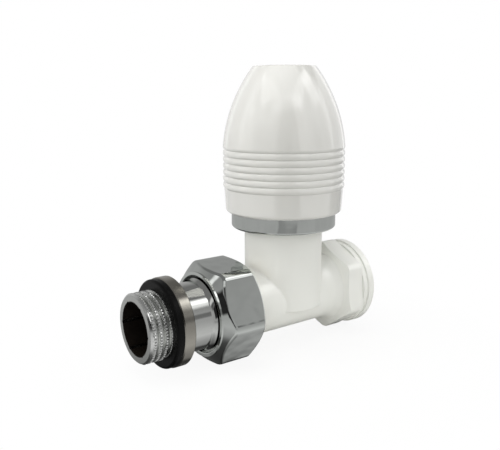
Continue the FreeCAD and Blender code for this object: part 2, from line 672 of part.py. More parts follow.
def centred_circle(sketch, radius, x):
    """A circle with its centre on the sketch's horizontal axis."""
    side = sketch.addGeometry(Part.Circle(Vector(number(x), 0, 0), Vector(0, 0, 1), number(radius)))
    sketch.addConstraint(Sketcher.Constraint("PointOnObject", side, 3, -1))
    bind(sketch, Sketcher.Constraint("DistanceX", -1, 1, side, 3, number(x)), x)
    bind(sketch, Sketcher.Constraint("Radius", side, number(radius)), radius)


def cut_waterway(body, axis, end):
    """The water comes in below the seat's web and leaves above it."""
    chamber = sketch_on(body, "chamber_outline", "XY_Plane", BARREL_TOP)
    centred_circle(chamber, CHAMBER_R, axis)
    extrude(body, "chamber", chamber, minus(BARREL_TOP, WEB_TOP), cut=True)
    thread = sketch_on(body, "bonnet_bore_outline", "XY_Plane", BARREL_TOP)
    centred_circle(thread, BONNET_BORE_R, axis)
    extrude(body, "bonnet_bore", thread, cell("bonnet_bore_depth"), cut=True)
    outlet_end = minus(axis, ORIFICE_R, cell("passage_wall"))
    cone = cell("union_cone_depth")
    revolve(body, "outlet_bore", [
        ("0", "0"),
        ("0", OUTLET_MOUTH_R),
        (cone, OUTLET_BORE_R),
        (outlet_end, OUTLET_BORE_R),
        (outlet_end, "0"),
    ], "H_Axis", cut=True)
    thread_r = half(cell("inlet_thread_bore"))
    mouth = cell("inlet_mouth_bevel")
    socket = minus(end, cell("inlet_thread_depth"))
    passage = plus(axis, CHAMBER_R, cell("passage_wall"))
    revolve(body, "inlet_bore", [
        (end, "0"),
        (end, plus(thread_r, mouth)),
        (minus(end, mouth), thread_r),
        (socket, thread_r),
        (passage, OUTLET_BORE_R),
        (passage, "0"),
    ], "H_Axis", cut=True)
    lower = sketch_on(body, "lower_passage_outline", "YZ_Plane", passage)
    reach = f"sqrt(({OUTLET_BORE_R})^2 - ({WEB_TOP})^2)"
    outline(lower, [
        (reach, f"-{WEB_TOP}"),
        (f"-{reach}", f"-{WEB_TOP}"),
        ("0", f"-{OUTLET_BORE_R}"),
    ], arcs={1: (OUTLET_BORE_R, 1), 2: (OUTLET_BORE_R, 1)})
    extrude(body, "lower_passage", lower, plus(CHAMBER_R, cell("passage_wall"), ORIFICE_R), cut=True)
    lip = sketch_on(body, "seat_outline", "XY_Plane", WEB_TOP)
    centred_circle(lip, SEAT_R, axis)
    extrude(body, "seat", lip, cell("seat_lip_height"))
    hole = sketch_on(body, "orifice_outline", "XY_Plane", SEAT_TOP)
    centred_circle(hole, ORIFICE_R, axis)
    extrude(body, "orifice", hole, plus(cell("seat_lip_height"), cell("web_thickness")), cut=True)


# Bonnet, chrome collar and gland

def make_bonnet_collar():
    body = new_body("bonnet_collar", x=VALVE_X, z=COLLAR_BOTTOM)
    edge = cell("collar_edge_radius")
    over = cell("collar_overlap")
    floor = plus(over, cell("collar_floor"))
    barrel_hole = plus(BARREL_R, cell("running_fit"))
    revolve(body, "collar_cup", [
        (barrel_hole, "0"),
        (minus(COLLAR_R, edge), "0"),
        (COLLAR_R, edge),
        (COLLAR_R, cell("collar_height")),
        (COLLAR_INNER_R, cell("collar_height")),
        (COLLAR_INNER_R, floor),
        (plus(BONNET_R, cell("running_fit")), floor),
        (plus(BONNET_R, cell("running_fit")), over),
        (barrel_hole, over),
    ], "V_Axis", arcs={1: (edge, 1)})
    return body


def make_bonnet():
    body = new_body("bonnet", x=VALVE_X)
    flange = sketch_on(body, "bonnet_hexagon", "XY_Plane", FLANGE_SEAT)
    rounded_polygon(flange, 6, cell("bonnet_flats"), cell("spanner_corner_radius"), "0")
    extrude(body, "bonnet_flange", flange, cell("bonnet_flange"))
    revolve(body, "bonnet_turning", [
        ("0", BONNET_END),
        (BONNET_R, BONNET_END),
        (BONNET_R, plus(FLANGE_SEAT, half(cell("bonnet_flange")))),
        (BONNET_NECK_R, plus(FLANGE_SEAT, half(cell("bonnet_flange")))),
        (BONNET_NECK_R, BONNET_TOP),
        ("0", BONNET_TOP),
    ], "V_Axis")
    revolve(body, "bonnet_bores", [
        ("0", BONNET_END),
        (RECESS_R, BONNET_END),
        (RECESS_R, RECESS_TOP),
        (SPINDLE_BORE_R, RECESS_TOP),
        (SPINDLE_BORE_R, THRUST_SEAT),
        (GLAND_BORE_R, THRUST_SEAT),
        (GLAND_BORE_R, BONNET_TOP),
        ("0", BONNET_TOP),
    ], "V_Axis", cut=True)
    return body


def make_gland_nut():
    body = new_body("gland_nut", x=VALVE_X, z=BONNET_TOP)
    head = sketch_on(body, "gland_hexagon", "XY_Plane")
    rounded_polygon(head, 6, cell("gland_flats"), cell("spanner_corner_radius"), "0")
    extrude(body, "gland_head", head, cell("gland_head"))
    depth = minus(BONNET_TOP, GLAND_END)
    shank = sketch_on(body, "gland_shank_outline", "XY_Plane")
    circle(shank, GLAND_R)
    extrude(body, "gland_shank", shank, depth, reverse=True)
    bore = sketch_on(body, "gland_bore_outline", "XY_Plane", cell("gland_head"))
    circle(bore, STEM_BORE_R)
    extrude(body, "gland_bore", bore, plus(cell("gland_head"), depth), cut=True)
    width = plus(cell("seal_section"), f"2 * {cell('seal_groove_room')}")
    for name, height in (("lower_groove", LOWER_SEAL), ("upper_groove", UPPER_SEAL)):
        floor = f"({height} - {width} / 2 - {BONNET_TOP})"
        roof = f"({height} + {width} / 2 - {BONNET_TOP})"
        revolve(body, name, [
            ("0", floor),
            (SEAL_GROOVE_R, floor),
            (SEAL_GROOVE_R, roof),
            ("0", roof),
        ], "V_Axis", cut=True)
    return body


def make_spindle_seal(name, height):
    seal = doc.addObject("Part::Torus", name)
    seal.Label = name
    seal.setExpression("Radius1", plus(STEM_BORE_R, half(cell("seal_section"))))
    seal.setExpression("Radius2", half(cell("seal_section")))
    seal.setExpression("Placement.Base.x", VALVE_X)
    seal.setExpression("Placement.Base.z", height)
    return seal


# Spindle and disc

def make_spindle():
    body = new_body("spindle", x=VALVE_X)
    edge = cell("pivot_edge")
    groove_r = minus(PIVOT_R, cell("clip_depth"), cell("running_fit"))
    groove_bottom = minus(CLIP_BOTTOM, cell("running_fit"))
    groove_top = plus(CLIP_BOTTOM, cell("clip_thickness"), cell("running_fit"))
    hole_r = HANDWHEEL_SCREW_HOLE_R
    hole_floor = minus(SPINDLE_TOP, cell("handwheel_screw_length"), cell("screw_tip_room"))
    revolve(body, "spindle_turning", [
        ("0", SPINDLE_BOTTOM),
        (minus(PIVOT_R, edge), SPINDLE_BOTTOM),
        (PIVOT_R, plus(SPINDLE_BOTTOM, edge)),
        (PIVOT_R, groove_bottom),
        (groove_r, groove_bottom),
        (groove_r, groove_top),
        (PIVOT_R, groove_top),
        (PIVOT_R, SPINDLE_THREAD_START),
        (SPINDLE_THREAD_R, SPINDLE_THREAD_START),
        (SPINDLE_THREAD_R, SPINDLE_THREAD_END),
        (STEM_R, SPINDLE_THREAD_END),
        (STEM_R, SPINDLE_TOP),
        (hole_r, SPINDLE_TOP),
        (hole_r, hole_floor),
        ("0", hole_floor),
    ], "V_Axis")
    drive = sketch_on(body, "drive_outline", "XY_Plane", SPINDLE_TOP)
    rounded_polygon(drive, 4, cell("drive_flats"), cell("drive_corner_radius"), "0")
    circle(drive, f"2 * {STEM_R}")
    extrude(body, "square_drive", drive, cell("drive_length"), cut=True)
    return body


def make_disc_holder():
    body = new_body("disc_holder", x=VALVE_X)
    groove_r = plus(SOCKET_R, cell("clip_depth"), cell("screw_fit"))
    groove_bottom = minus(CLIP_BOTTOM, cell("screw_fit"))
    groove_top = plus(CLIP_BOTTOM, cell("clip_thickness"), cell("screw_fit"))
    revolve(body, "holder_turning", [
        (WASHER_SCREW_HOLE_R, WASHER_TOP),
        (HOLDER_RECESS_R, WASHER_TOP),
        (HOLDER_RECESS_R, HOLDER_BOTTOM),
        (HOLDER_R, HOLDER_BOTTOM),
        (HOLDER_R, SOCKET_FLOOR),
        (HOLDER_TUBE_R, SOCKET_FLOOR),
        (HOLDER_TUBE_R, HOLDER_TOP),
        (SOCKET_R, HOLDER_TOP),
        (SOCKET_R, groove_top),
        (groove_r, groove_top),
        (groove_r, groove_bottom),
        (SOCKET_R, groove_bottom),
        (SOCKET_R, SOCKET_FLOOR),
        (WASHER_SCREW_HOLE_R, SOCKET_FLOOR),
    ], "V_Axis")
    return body


def make_disc_clip():
    body = new_body("disc_clip", x=VALVE_X, z=CLIP_BOTTOM)
    inner = minus(PIVOT_R, cell("clip_depth"))
    outer = plus(SOCKET_R, cell("clip_depth"))
    thickness = cell("clip_thickness")
    ring = revolve(body, "clip_ring", [
        (inner, "0"),
        (outer, "0"),
        (outer, thickness),
        (inner, thickness),
    ], "V_Axis")
    ring.setExpression("Angle", "360 - Sheet.clip_opening")
    return body


def make_screw(name, shank_r, shank_length, head_diameter, head_height, z, head_up):
    """A slotted cheese-head screw whose head bears at height z."""
    body = new_body(name, x=VALVE_X, z=z)
    up, down = ("", "-") if head_up else ("-", "")
    head_r = half(head_diameter)
    top = f"{up}{head_height}"
    revolve(body, name + "_turning", [
        ("0", top),
        (head_r, top),
        (head_r, "0"),
        (shank_r, "0"),
        (shank_r, f"{down}{shank_length}"),
        ("0", f"{down}{shank_length}"),
    ], "V_Axis")
    slot = sketch_on(body, name + "_slot_outline", "XY_Plane", top)
    side = half(cell("screw_slot_width"))
    outline(slot, [
        (f"-{head_diameter}", f"-{side}"),
        (head_diameter, f"-{side}"),
        (head_diameter, side),
        (f"-{head_diameter}", side),
    ])
    extrude(body, name + "_slot", slot, cell("screw_slot_depth"), cut=True, reverse=not head_up)
    return body


# Handwheel

def make_handwheel():
    body = new_body("handwheel", x=VALVE_X)
    edge = cell("skirt_edge_radius")
    rib_radius = "(Sheet.rib_pitch^2 / 8 / Sheet.rib_depth + Sheet.rib_depth / 2)"
    roof = minus(HANDWHEEL_TOP, cell("shell_roof"))
    shell_top_r = minus(TOP_R, cell("shell_wall"), f"-{cell('shell_roof')} / 2")
    top_edge = cell("top_edge")
    inside = [
        ("0", HUB_BOTTOM),
        (HUB_R, HUB_BOTTOM),
        (HUB_R, roof),
        (shell_top_r, roof),
        (SKIRT_INNER_R, DOME_START),
        (SKIRT_INNER_R, HANDWHEEL_BOTTOM),
    ]
    skirt = [
        (minus(SKIRT_R, edge), HANDWHEEL_BOTTOM),
        (SKIRT_R, plus(HANDWHEEL_BOTTOM, edge)),
    ]
    ribs = []
    for index in range(int(number(cell("rib_count"))) + 1):
        ribs.append((VALLEY_R, plus(LOWEST_VALLEY, f"{index} * Sheet.rib_pitch")))
    outside = [
        (RIB_R, DOME_START),
        (TOP_R, minus(HANDWHEEL_TOP, top_edge)),
        (minus(TOP_R, top_edge), HANDWHEEL_TOP),
        (plus(CAP_R, cell("screw_fit")), HANDWHEEL_TOP),
        (plus(CAP_R, cell("screw_fit")), CAP_SEAT),
        (WELL_R, CAP_SEAT),
        (WELL_R, HUB_WEB_TOP),
        (HANDWHEEL_SCREW_HOLE_R, HUB_WEB_TOP),
        (HANDWHEEL_SCREW_HOLE_R, HUB_WEB_BOTTOM),
        ("0", HUB_WEB_BOTTOM),
    ]
    first_rib = len(inside) + len(skirt)
    brow = first_rib + len(ribs) - 1
    dome = first_rib + len(ribs)
    arcs = {
        3: (f"{cell('dome_radius')} - {cell('shell_wall')}", -1),
        len(inside): (edge, 1),
        brow: (f"2 * {cell('brow_height')}", 1),
        dome: (cell("dome_radius"), 1),
    }
    for index in range(first_rib, brow):
        arcs[index] = (rib_radius, 1)
    revolve(body, "handwheel_shell", inside + skirt + ribs + outside, "V_Axis", arcs)
    socket = sketch_on(body, "square_socket_outline", "XY_Plane", HUB_BOTTOM)
    socket_flats = plus(cell("drive_flats"), f"2 * {cell('screw_fit')}")
    rounded_polygon(socket, 4, socket_flats, cell("drive_corner_radius"), "0")
    extrude(body, "square_socket", socket, minus(HUB_WEB_BOTTOM, HUB_BOTTOM), cut=True, reverse=True)
    return body


def make_handwheel_cap():
    body = new_body("handwheel_cap", x=VALVE_X, z=CAP_SEAT)
    plug_r = minus(WELL_R, cell("screw_fit"))
    plug = f"-{cell('cap_plug_length')}"
    revolve(body, "cap_turning", [
        ("0", plug),
        (plug_r, plug),
        (plug_r, "0"),
        (CAP_R, "0"),
        (CAP_R, cell("cap_thickness")),
        ("0", cell("cap_thickness")),
    ], "V_Axis")
    return body


# The whole valve

pieces = [
    make_tailpiece(),
    make_tail_seal(),
    make_seal_backing_ring(),
    make_union_nut(),
    make_valve_body(),
    make_bonnet_collar(),
    make_bonnet(),
    turned_ring(
        "bonnet_seal", CHAMBER_R, minus(BONNET_BORE_R, cell("screw_fit")),
        cell("bonnet_seal_thickness"), x=VALVE_X, z=BONNET_LEDGE,
    ),
    make_gland_nut(),
    turned_ring(
        "thrust_washer", STEM_BORE_R, GLAND_R, cell("thrust_thickness"), x=VALVE_X, z=THRUST_SEAT,
    ),
    make_spindle_seal("spindle_seal_lower", LOWER_SEAL),
    make_spindle_seal("spindle_seal_upper", UPPER_SEAL),
    make_spindle(),
    make_disc_holder(),
    turned_ring(
        "seat_washer", WASHER_SCREW_HOLE_R, WASHER_R, cell("washer_thickness"), x=VALVE_X, z=WASHER_BOTTOM,
    ),
    make_screw(
        "washer_screw", WASHER_SCREW_R, plus(cell("washer_thickness"), cell("holder_plate")),
        cell("washer_screw_head"), cell("washer_screw_head_height"), WASHER_BOTTOM, head_up=False,
    ),
    make_disc_clip(),
    make_handwheel(),
    turned_ring(
        "screw_washer", HANDWHEEL_SCREW_HOLE_R, half(cell("handwheel_screw_head")),
        cell("screw_washer_thickness"), x=VALVE_X, z=HUB_WEB_TOP,
    ),
    make_screw(
        "handwheel_screw", HANDWHEEL_SCREW_R,
        plus(cell("screw_washer_thickness"), cell("hub_web"), cell("handwheel_screw_length")),
        cell("handwheel_screw_head"), cell("handwheel_screw_head_height"), SCREW_SEAT, head_up=True,
    ),
    make_handwheel_cap(),
]

doc.recompute()
for item in doc.Objects:
    if "Invalid" in item.State or "Error" in item.State:
        raise RuntimeError(f"{item.Name} failed: {item.State}")
for piece in pieces:
    if piece.Shape.isNull() or not piece.Shape.isValid() or len(piece.Shape.Solids) != 1:
        raise RuntimeError(f"{piece.Label} is not one valid solid")

os.makedirs("parts", exist_ok=True)
for piece in pieces:
    piece.Shape.exportStep(f"parts/{piece.Label}.step")
    print(f"{piece.Label}: {piece.Shape.Volume:.1f} mm3")
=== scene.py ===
# %% [markdown]
# # A manual radiator valve
# The valve joins a radiator to its pipe. Its solids come from a CAD program and are already in place,
# in metres: +X runs along the pipe from the radiator to the inlet, and +Z runs up along the spindle.
# This lesson gives those solids their finishes, cuts the screw threads that the solids leave plain,
# and sets up the studio of the product photograph.

# %% Load the solids
import bmesh
import bpy
import json
import math
import random
from mathutils import Matrix, Vector

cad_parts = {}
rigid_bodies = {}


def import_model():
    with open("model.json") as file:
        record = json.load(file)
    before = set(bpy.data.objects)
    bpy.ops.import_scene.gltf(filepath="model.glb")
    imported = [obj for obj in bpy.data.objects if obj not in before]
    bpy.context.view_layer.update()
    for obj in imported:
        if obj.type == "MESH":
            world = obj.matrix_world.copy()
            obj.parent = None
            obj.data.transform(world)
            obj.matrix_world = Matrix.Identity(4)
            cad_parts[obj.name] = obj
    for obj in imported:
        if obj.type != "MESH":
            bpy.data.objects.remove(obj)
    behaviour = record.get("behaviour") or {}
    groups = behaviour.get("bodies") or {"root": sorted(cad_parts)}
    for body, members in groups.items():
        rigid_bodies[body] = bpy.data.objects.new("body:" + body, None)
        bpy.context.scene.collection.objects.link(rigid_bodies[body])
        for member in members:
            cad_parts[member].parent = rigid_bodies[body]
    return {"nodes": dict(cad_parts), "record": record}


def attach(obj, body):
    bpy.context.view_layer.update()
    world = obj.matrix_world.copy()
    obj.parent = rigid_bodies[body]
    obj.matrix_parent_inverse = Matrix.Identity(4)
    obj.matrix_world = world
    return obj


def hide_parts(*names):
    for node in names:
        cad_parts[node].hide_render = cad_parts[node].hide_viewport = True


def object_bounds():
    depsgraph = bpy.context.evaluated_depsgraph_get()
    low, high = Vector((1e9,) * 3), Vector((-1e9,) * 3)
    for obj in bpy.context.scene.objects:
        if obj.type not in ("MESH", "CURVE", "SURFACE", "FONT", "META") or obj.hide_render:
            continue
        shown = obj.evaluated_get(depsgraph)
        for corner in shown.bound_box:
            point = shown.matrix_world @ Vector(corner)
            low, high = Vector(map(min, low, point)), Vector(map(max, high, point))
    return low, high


for leftover in list(bpy.data.objects):
    bpy.data.objects.remove(leftover)
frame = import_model()
cad_low, cad_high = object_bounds()
MM = 0.001
print(len(frame["nodes"]), "solids, size in mm:", [round(side / MM, 1) for side in cad_high - cad_low])

# %% [markdown]
# ## Camera
# The photograph's camera was worked out from the valve's own edges: the direction and distance of the view,
# the focal length in pixels, and the pixel where the spindle's axis crosses the pipe's axis.
# A camera can be aimed with a constraint, but turning these measures into a place keeps the framing exact.

# %% Directions of the view
VIEW_AZIMUTH = math.radians(-36.10)
VIEW_ELEVATION = math.radians(11.88)
VIEW_ROLL = math.radians(-0.22)

towards_camera = Vector((
    math.sin(VIEW_AZIMUTH) * math.cos(VIEW_ELEVATION),
    -math.cos(VIEW_AZIMUTH) * math.cos(VIEW_ELEVATION),
    math.sin(VIEW_ELEVATION),
))
level = Vector((math.cos(VIEW_AZIMUTH), math.sin(VIEW_AZIMUTH), 0))
upright = towards_camera.cross(level)
image_right = math.cos(VIEW_ROLL) * level + math.sin(VIEW_ROLL) * upright
image_up = towards_camera.cross(image_right)
print("the view comes from", [round(value, 3) for value in towards_camera])

# %% Camera
PHOTO_WIDTH, PHOTO_HEIGHT = 500, 450
VIEW_DISTANCE = 211.7 * MM
FOCAL_PIXELS = 625.8
CENTRE_PIXEL = (282.68, 293.78)
SENSOR_WIDTH = 36.0
CLIP_START = 10 * MM
SPINDLE_X = 48.08 * MM

valve_centre = Vector((SPINDLE_X, 0, 0))
aside = (CENTRE_PIXEL[0] - PHOTO_WIDTH / 2) * VIEW_DISTANCE / FOCAL_PIXELS
above = -(CENTRE_PIXEL[1] - PHOTO_HEIGHT / 2) * VIEW_DISTANCE / FOCAL_PIXELS

camera_data = bpy.data.cameras.new("photo_camera")
camera_data.sensor_fit = "HORIZONTAL"
camera_data.sensor_width = SENSOR_WIDTH
camera_data.lens = FOCAL_PIXELS / PHOTO_WIDTH * SENSOR_WIDTH
camera_data.clip_start = CLIP_START
camera = bpy.data.objects.new("photo_camera", camera_data)
camera_place = valve_centre + VIEW_DISTANCE * towards_camera - aside * image_right - above * image_up
turn = Matrix((image_right, image_up, towards_camera)).transposed().to_4x4()
camera.matrix_world = Matrix.Translation(camera_place) @ turn
bpy.context.scene.collection.objects.link(camera)
bpy.context.scene.camera = camera
print("camera at", [round(value / MM, 1) for value in camera_place], "lens", round(camera_data.lens, 2))

# %% [markdown]
# ## Shader maths
# A finish is a chain of nodes, and sums of sockets are hard to read as nodes. This small class wraps
# a socket, so that `1 - mask` or `0.2 + 0.1 * noise` adds the Math nodes by itself. Every other node
# comes from one method, which sets the node up and fills its sockets.

# %% Socket class
def fill_ramp(ramp, stops):
    """Sets a ramp's stops from (position, grey) pairs."""
    while len(ramp.elements) < len(stops):
        ramp.elements.new(1.0)
    for element, (position, grey) in zip(ramp.elements, stops):
        element.position = position
        element.color = (grey, grey, grey, 1)


class Socket:
    """An output socket of a node tree that can be used in Python sums."""

    def __init__(self, tree, output):
        self.tree = tree
        self.output = output

    @classmethod
    def node(cls, tree, kind, settings=None, inputs=None, output=0):
        """Makes a node, applies its settings, then fills its inputs with values or links.

        It hands back one of the node's outputs, or nothing where the node has none.
        """
        made = tree.nodes.new(kind)
        for name, setting in (settings or {}).items():
            if name == "stops":
                fill_ramp(made.color_ramp, setting)
            else:
                setattr(made, name, setting)
        for name, value in (inputs or {}).items():
            if isinstance(value, Socket):
                tree.links.new(value.output, made.inputs[name])
            else:
                made.inputs[name].default_value = value
        return cls(tree, made.outputs[output]) if made.outputs else None

    def math(self, operation, other=0.0, swapped=False):
        """A Math node on this socket and another socket or number."""
        pair = (other, self) if swapped else (self, other)
        return Socket.node(self.tree, "ShaderNodeMath", {"operation": operation}, dict(enumerate(pair)))

    def __add__(self, other):
        return self.math("ADD", other)

    def __sub__(self, other):
        return self.math("SUBTRACT", other)

    def __rsub__(self, other):
        return self.math("SUBTRACT", other, swapped=True)

    def __mul__(self, other):
        return self.math("MULTIPLY", other)

    def __lt__(self, other):
        return self.math("LESS_THAN", other)

    __radd__ = __add__
    __rmul__ = __mul__


print("socket class ready")

# %% [markdown]
# ## Floor and world
# The photograph is a cut-out on white, so the floor and the world behind it are white to the camera.
# More light would whiten them too, but it would bleach the valve, so their materials ask what kind of ray
# has come: rays from the camera, a mirror or glass see white, and the light on the valve stays plain.
# Close to the valve the floor glows a little less, so that it keeps a soft shadow. Its own colour is paler
# there and dim further out, a painted pool of light that also sets how much light bounces up onto the valve.

# %% Helpers for materials and objects
def seen_directly(tree):
    """One for rays from the camera, from a mirror or through glass, and nought for diffuse rays."""
    camera_ray, mirror_ray, glass_ray = [
        Socket.node(tree, "ShaderNodeLightPath", output=name)
        for name in ("Is Camera Ray", "Is Glossy Ray", "Is Transmission Ray")
    ]
    return camera_ray.math("MAXIMUM", mirror_ray).math("MAXIMUM", glass_ray)


def new_material(name):
    """An empty node material and its tree."""
    material = bpy.data.materials.new(name)
    material.use_nodes = True
    material.node_tree.nodes.clear()
    return material, material.node_tree


def add_object(name, bm):
    """Turns a finished bmesh into an object at the origin."""
    mesh = bpy.data.meshes.new(name)
    bm.to_mesh(mesh)
    bm.free()
    made = bpy.data.objects.new(name, mesh)
    bpy.context.scene.collection.objects.link(made)
    return made


print("material and object helpers ready")

# %% Floor
FLOOR_GAP = 0.2 * MM
FLOOR_HALF = 4.0
FLOOR_STEPS = 96
FLOOR_PALE, FLOOR_DIM = (0.84, 0.84, 0.82, 1), (0.35, 0.35, 0.34, 1)
# Painted pool of light: the floor's colour is pale within these distances of the valve and dim beyond them.
POOL_START, POOL_END = 60 * MM, 130 * MM
GLOW_NEAR, GLOW_FAR = 0.90, 1.0
GLOW_START, GLOW_END = 30 * MM, 80 * MM
WHITE = (1, 1, 1, 1)

paper, tree = new_material("white_paper")
spot = Socket.node(tree, "ShaderNodeTexCoord", output="Object")
from_valve = Socket.node(
    tree, "ShaderNodeVectorMath", {"operation": "DISTANCE"}, {0: spot, 1: valve_centre}, output="Value",
)
whiteness = Socket.node(
    tree, "ShaderNodeMapRange",
    inputs={0: from_valve, 1: GLOW_START, 2: GLOW_END, 3: GLOW_NEAR, 4: GLOW_FAR},
)
dimness = Socket.node(
    tree, "ShaderNodeMapRange",
    inputs={0: from_valve, 1: POOL_START, 2: POOL_END, 3: 0.0, 4: 1.0},
)
# Painted pool of light on the floor, pale near the valve and dim further out.
painted_light_pool = Socket.node(
    tree, "ShaderNodeMix", {"data_type": "RGBA"},
    {"Factor": dimness, 6: FLOOR_PALE, 7: FLOOR_DIM}, output=2,
)
lit = Socket.node(tree, "ShaderNodeBsdfDiffuse", inputs={"Color": painted_light_pool})
glow = Socket.node(tree, "ShaderNodeEmission", inputs={"Color": WHITE, "Strength": 1.0})
glowing = whiteness * seen_directly(tree)
mixed = Socket.node(tree, "ShaderNodeMixShader", inputs={0: glowing, 1: lit, 2: glow})
Socket.node(tree, "ShaderNodeOutputMaterial", inputs={"Surface": mixed})

bm = bmesh.new()
bmesh.ops.create_circle(
    bm, cap_ends=True, segments=FLOOR_STEPS, radius=FLOOR_HALF,
    matrix=Matrix.Translation((valve_centre.x, 0, cad_low.z - FLOOR_GAP)),
)
floor = add_object("floor", bm)
floor.data.materials.append(paper)
floor.visible_glossy = False
print("floor at", round((cad_low.z - FLOOR_GAP) / MM, 2), "mm")

# %% World
AMBIENT_LEVEL = 0.34

world = bpy.data.worlds.new("studio")
bpy.context.scene.world = world
world.use_nodes = True
tree = world.node_tree
tree.nodes.clear()
strength = AMBIENT_LEVEL + (1 - AMBIENT_LEVEL) * seen_directly(tree)
backdrop = Socket.node(tree, "ShaderNodeBackground", inputs={"Color": WHITE, "Strength": strength})
Socket.node(tree, "ShaderNodeOutputWorld", inputs={"Surface": backdrop})
bpy.context.scene.view_settings.view_transform = "Standard"
print("the world lights the valve at", AMBIENT_LEVEL)

# %% [markdown]
# ## Light tent
# Chrome shows what stands around it: a grey tent with bright panels, a dark opening where the camera looks
# in, and a floor that is pale in front and dark behind. Real walls could be modelled, but a ball that only
# mirror rays can see is simpler: its material paints the tent by direction, and it casts no light or shadow.

# %% Places in the studio
level_towards_camera = Vector((towards_camera.x, towards_camera.y, 0)).normalized()


def studio_place(right, up, near):
    """A place measured from the valve: to the camera's right, up, and towards the camera."""
    return right * level + Vector((0, 0, up)) + near * level_towards_camera


print("towards the camera, level:", [round(value, 3) for value in level_towards_camera])

# %% Grey of the tent by height, with folds
TENT_GREYS = [
    # height from straight down (0) to straight up (1), brightness
    (0.0, 0.16), (0.16, 0.66), (0.41, 0.46), (0.50, 0.42),
    (0.67, 0.41), (0.75, 0.35), (0.84, 0.20), (1.0, 0.20),
]
FOLD_SCALE, FOLD_SHARE = 2.6, 0.3

tent_fabric, tree = new_material("tent_fabric")
tent_spot = Socket.node(tree, "ShaderNodeTexCoord", output="Object")
direction = Socket.node(tree, "ShaderNodeVectorMath", {"operation": "NORMALIZE"}, {0: tent_spot})
tent_height = Socket.node(tree, "ShaderNodeSeparateXYZ", inputs={0: direction}, output="Z")
upwards = 0.5 + 0.5 * tent_height
fabric_grey = Socket.node(tree, "ShaderNodeValToRGB", {"stops": TENT_GREYS}, {"Fac": upwards})
fold_inputs = {"Vector": direction, "Scale": FOLD_SCALE}
folds = Socket.node(tree, "ShaderNodeTexNoise", inputs=fold_inputs, output="Fac")
brightness = fabric_grey * (1 - FOLD_SHARE / 2 + FOLD_SHARE * folds)
print("tent greys:", len(TENT_GREYS), "stops")

# %% Dark floor and panels of the tent
PANELS = [
    # to the right, up, towards the camera, half width, half height, added brightness
    (0.69, 0.69, 0.07, 0.17, 0.20, 0.90),
    (0.64, 0.77, 0.05, 0.17, 0.07, 0.75),
    (-0.83, 0.53, 0.16, 0.07, 0.06, 0.80),
    (0.83, 0.30, -0.47, 0.42, 0.33, 0.65),
    (0.12, 0.73, 0.67, 0.45, 0.10, 0.60),
    (0.12, 0.54, 0.83, 0.42, 0.14, -0.20),
    (0.89, 0.22, 0.40, 0.10, 0.11, -0.24),
    (0.14, -0.22, 0.96, 0.35, 0.06, -0.15),
    (-0.41, 0.21, 0.89, 0.60, 0.26, -0.40),
]
PANEL_BLUR = 0.04
DARK_FLOOR = studio_place(-0.77, 0, -0.64)
DARK_FLOOR_HEIGHT = -0.40
DARK_FLOOR_SHARE = 0.88
DARK_FLOOR_SIDE_BLUR, DARK_FLOOR_TOP_BLUR = 0.12, 0.08
DARKEST = 0.02


def tent_part(axis):
    """How far a tent direction points along an axis."""
    inputs = {0: direction, 1: axis}
    return Socket.node(tree, "ShaderNodeVectorMath", {"operation": "DOT_PRODUCT"}, inputs, "Value")


def soft_step(value, edge, blur):
    """Rises from 0 to 1 round an edge."""
    inputs = {0: value, 1: edge - blur, 2: edge + blur, 3: 0.0, 4: 1.0}
    return Socket.node(tree, "ShaderNodeMapRange", {"interpolation_type": "SMOOTHSTEP"}, inputs)


def within(value, half_width):
    """One in a band on both sides of nought."""
    return 1 - soft_step(value.math("ABSOLUTE"), half_width, PANEL_BLUR)


behind = soft_step(tent_part(DARK_FLOOR), 0.0, DARK_FLOOR_SIDE_BLUR)
below = 1 - soft_step(tent_height, DARK_FLOOR_HEIGHT, DARK_FLOOR_TOP_BLUR)
brightness = brightness * (1 - DARK_FLOOR_SHARE * behind * below)
for right, up, near, half_width, half_height, added in PANELS:
    centre = studio_place(right, up, near).normalized()
    across = Vector((0, 0, 1)).cross(centre).normalized()
    inside = within(tent_part(across), half_width) * within(tent_part(centre.cross(across)), half_height)
    brightness = brightness + added * inside * soft_step(tent_part(centre), 0.0, PANEL_BLUR)
brightness = brightness.math("MAXIMUM", DARKEST)
shining = Socket.node(tree, "ShaderNodeEmission", inputs={"Color": brightness, "Strength": 1.0})
Socket.node(tree, "ShaderNodeOutputMaterial", inputs={"Surface": shining})
print("tent fabric has", len(tree.nodes), "nodes")

# %% The tent
TENT_RADIUS = 0.9
TENT_SUBDIVISIONS = 4

bm = bmesh.new()
bmesh.ops.create_icosphere(bm, subdivisions=TENT_SUBDIVISIONS, radius=TENT_RADIUS)
tent = add_object("light_tent", bm)
tent.data.materials.append(tent_fabric)
tent.visible_camera = False
tent.visible_diffuse = False
tent.visible_shadow = False
tent.visible_transmission = False
print("tent with", len(PANELS), "panels")

# %% [markdown]
# ## Lamps
# Four soft lamps, to the left, right, top and front, shade the valve without showing in the chrome.
# The white pieces also need highlights: one on the enamelled body, and on the handwheel the large walls of
# a tent. If every piece mirrored those walls, the chrome would turn pale, so light linking gives each of
# these lamps the one finish that it makes glossy, and they add no diffuse light.

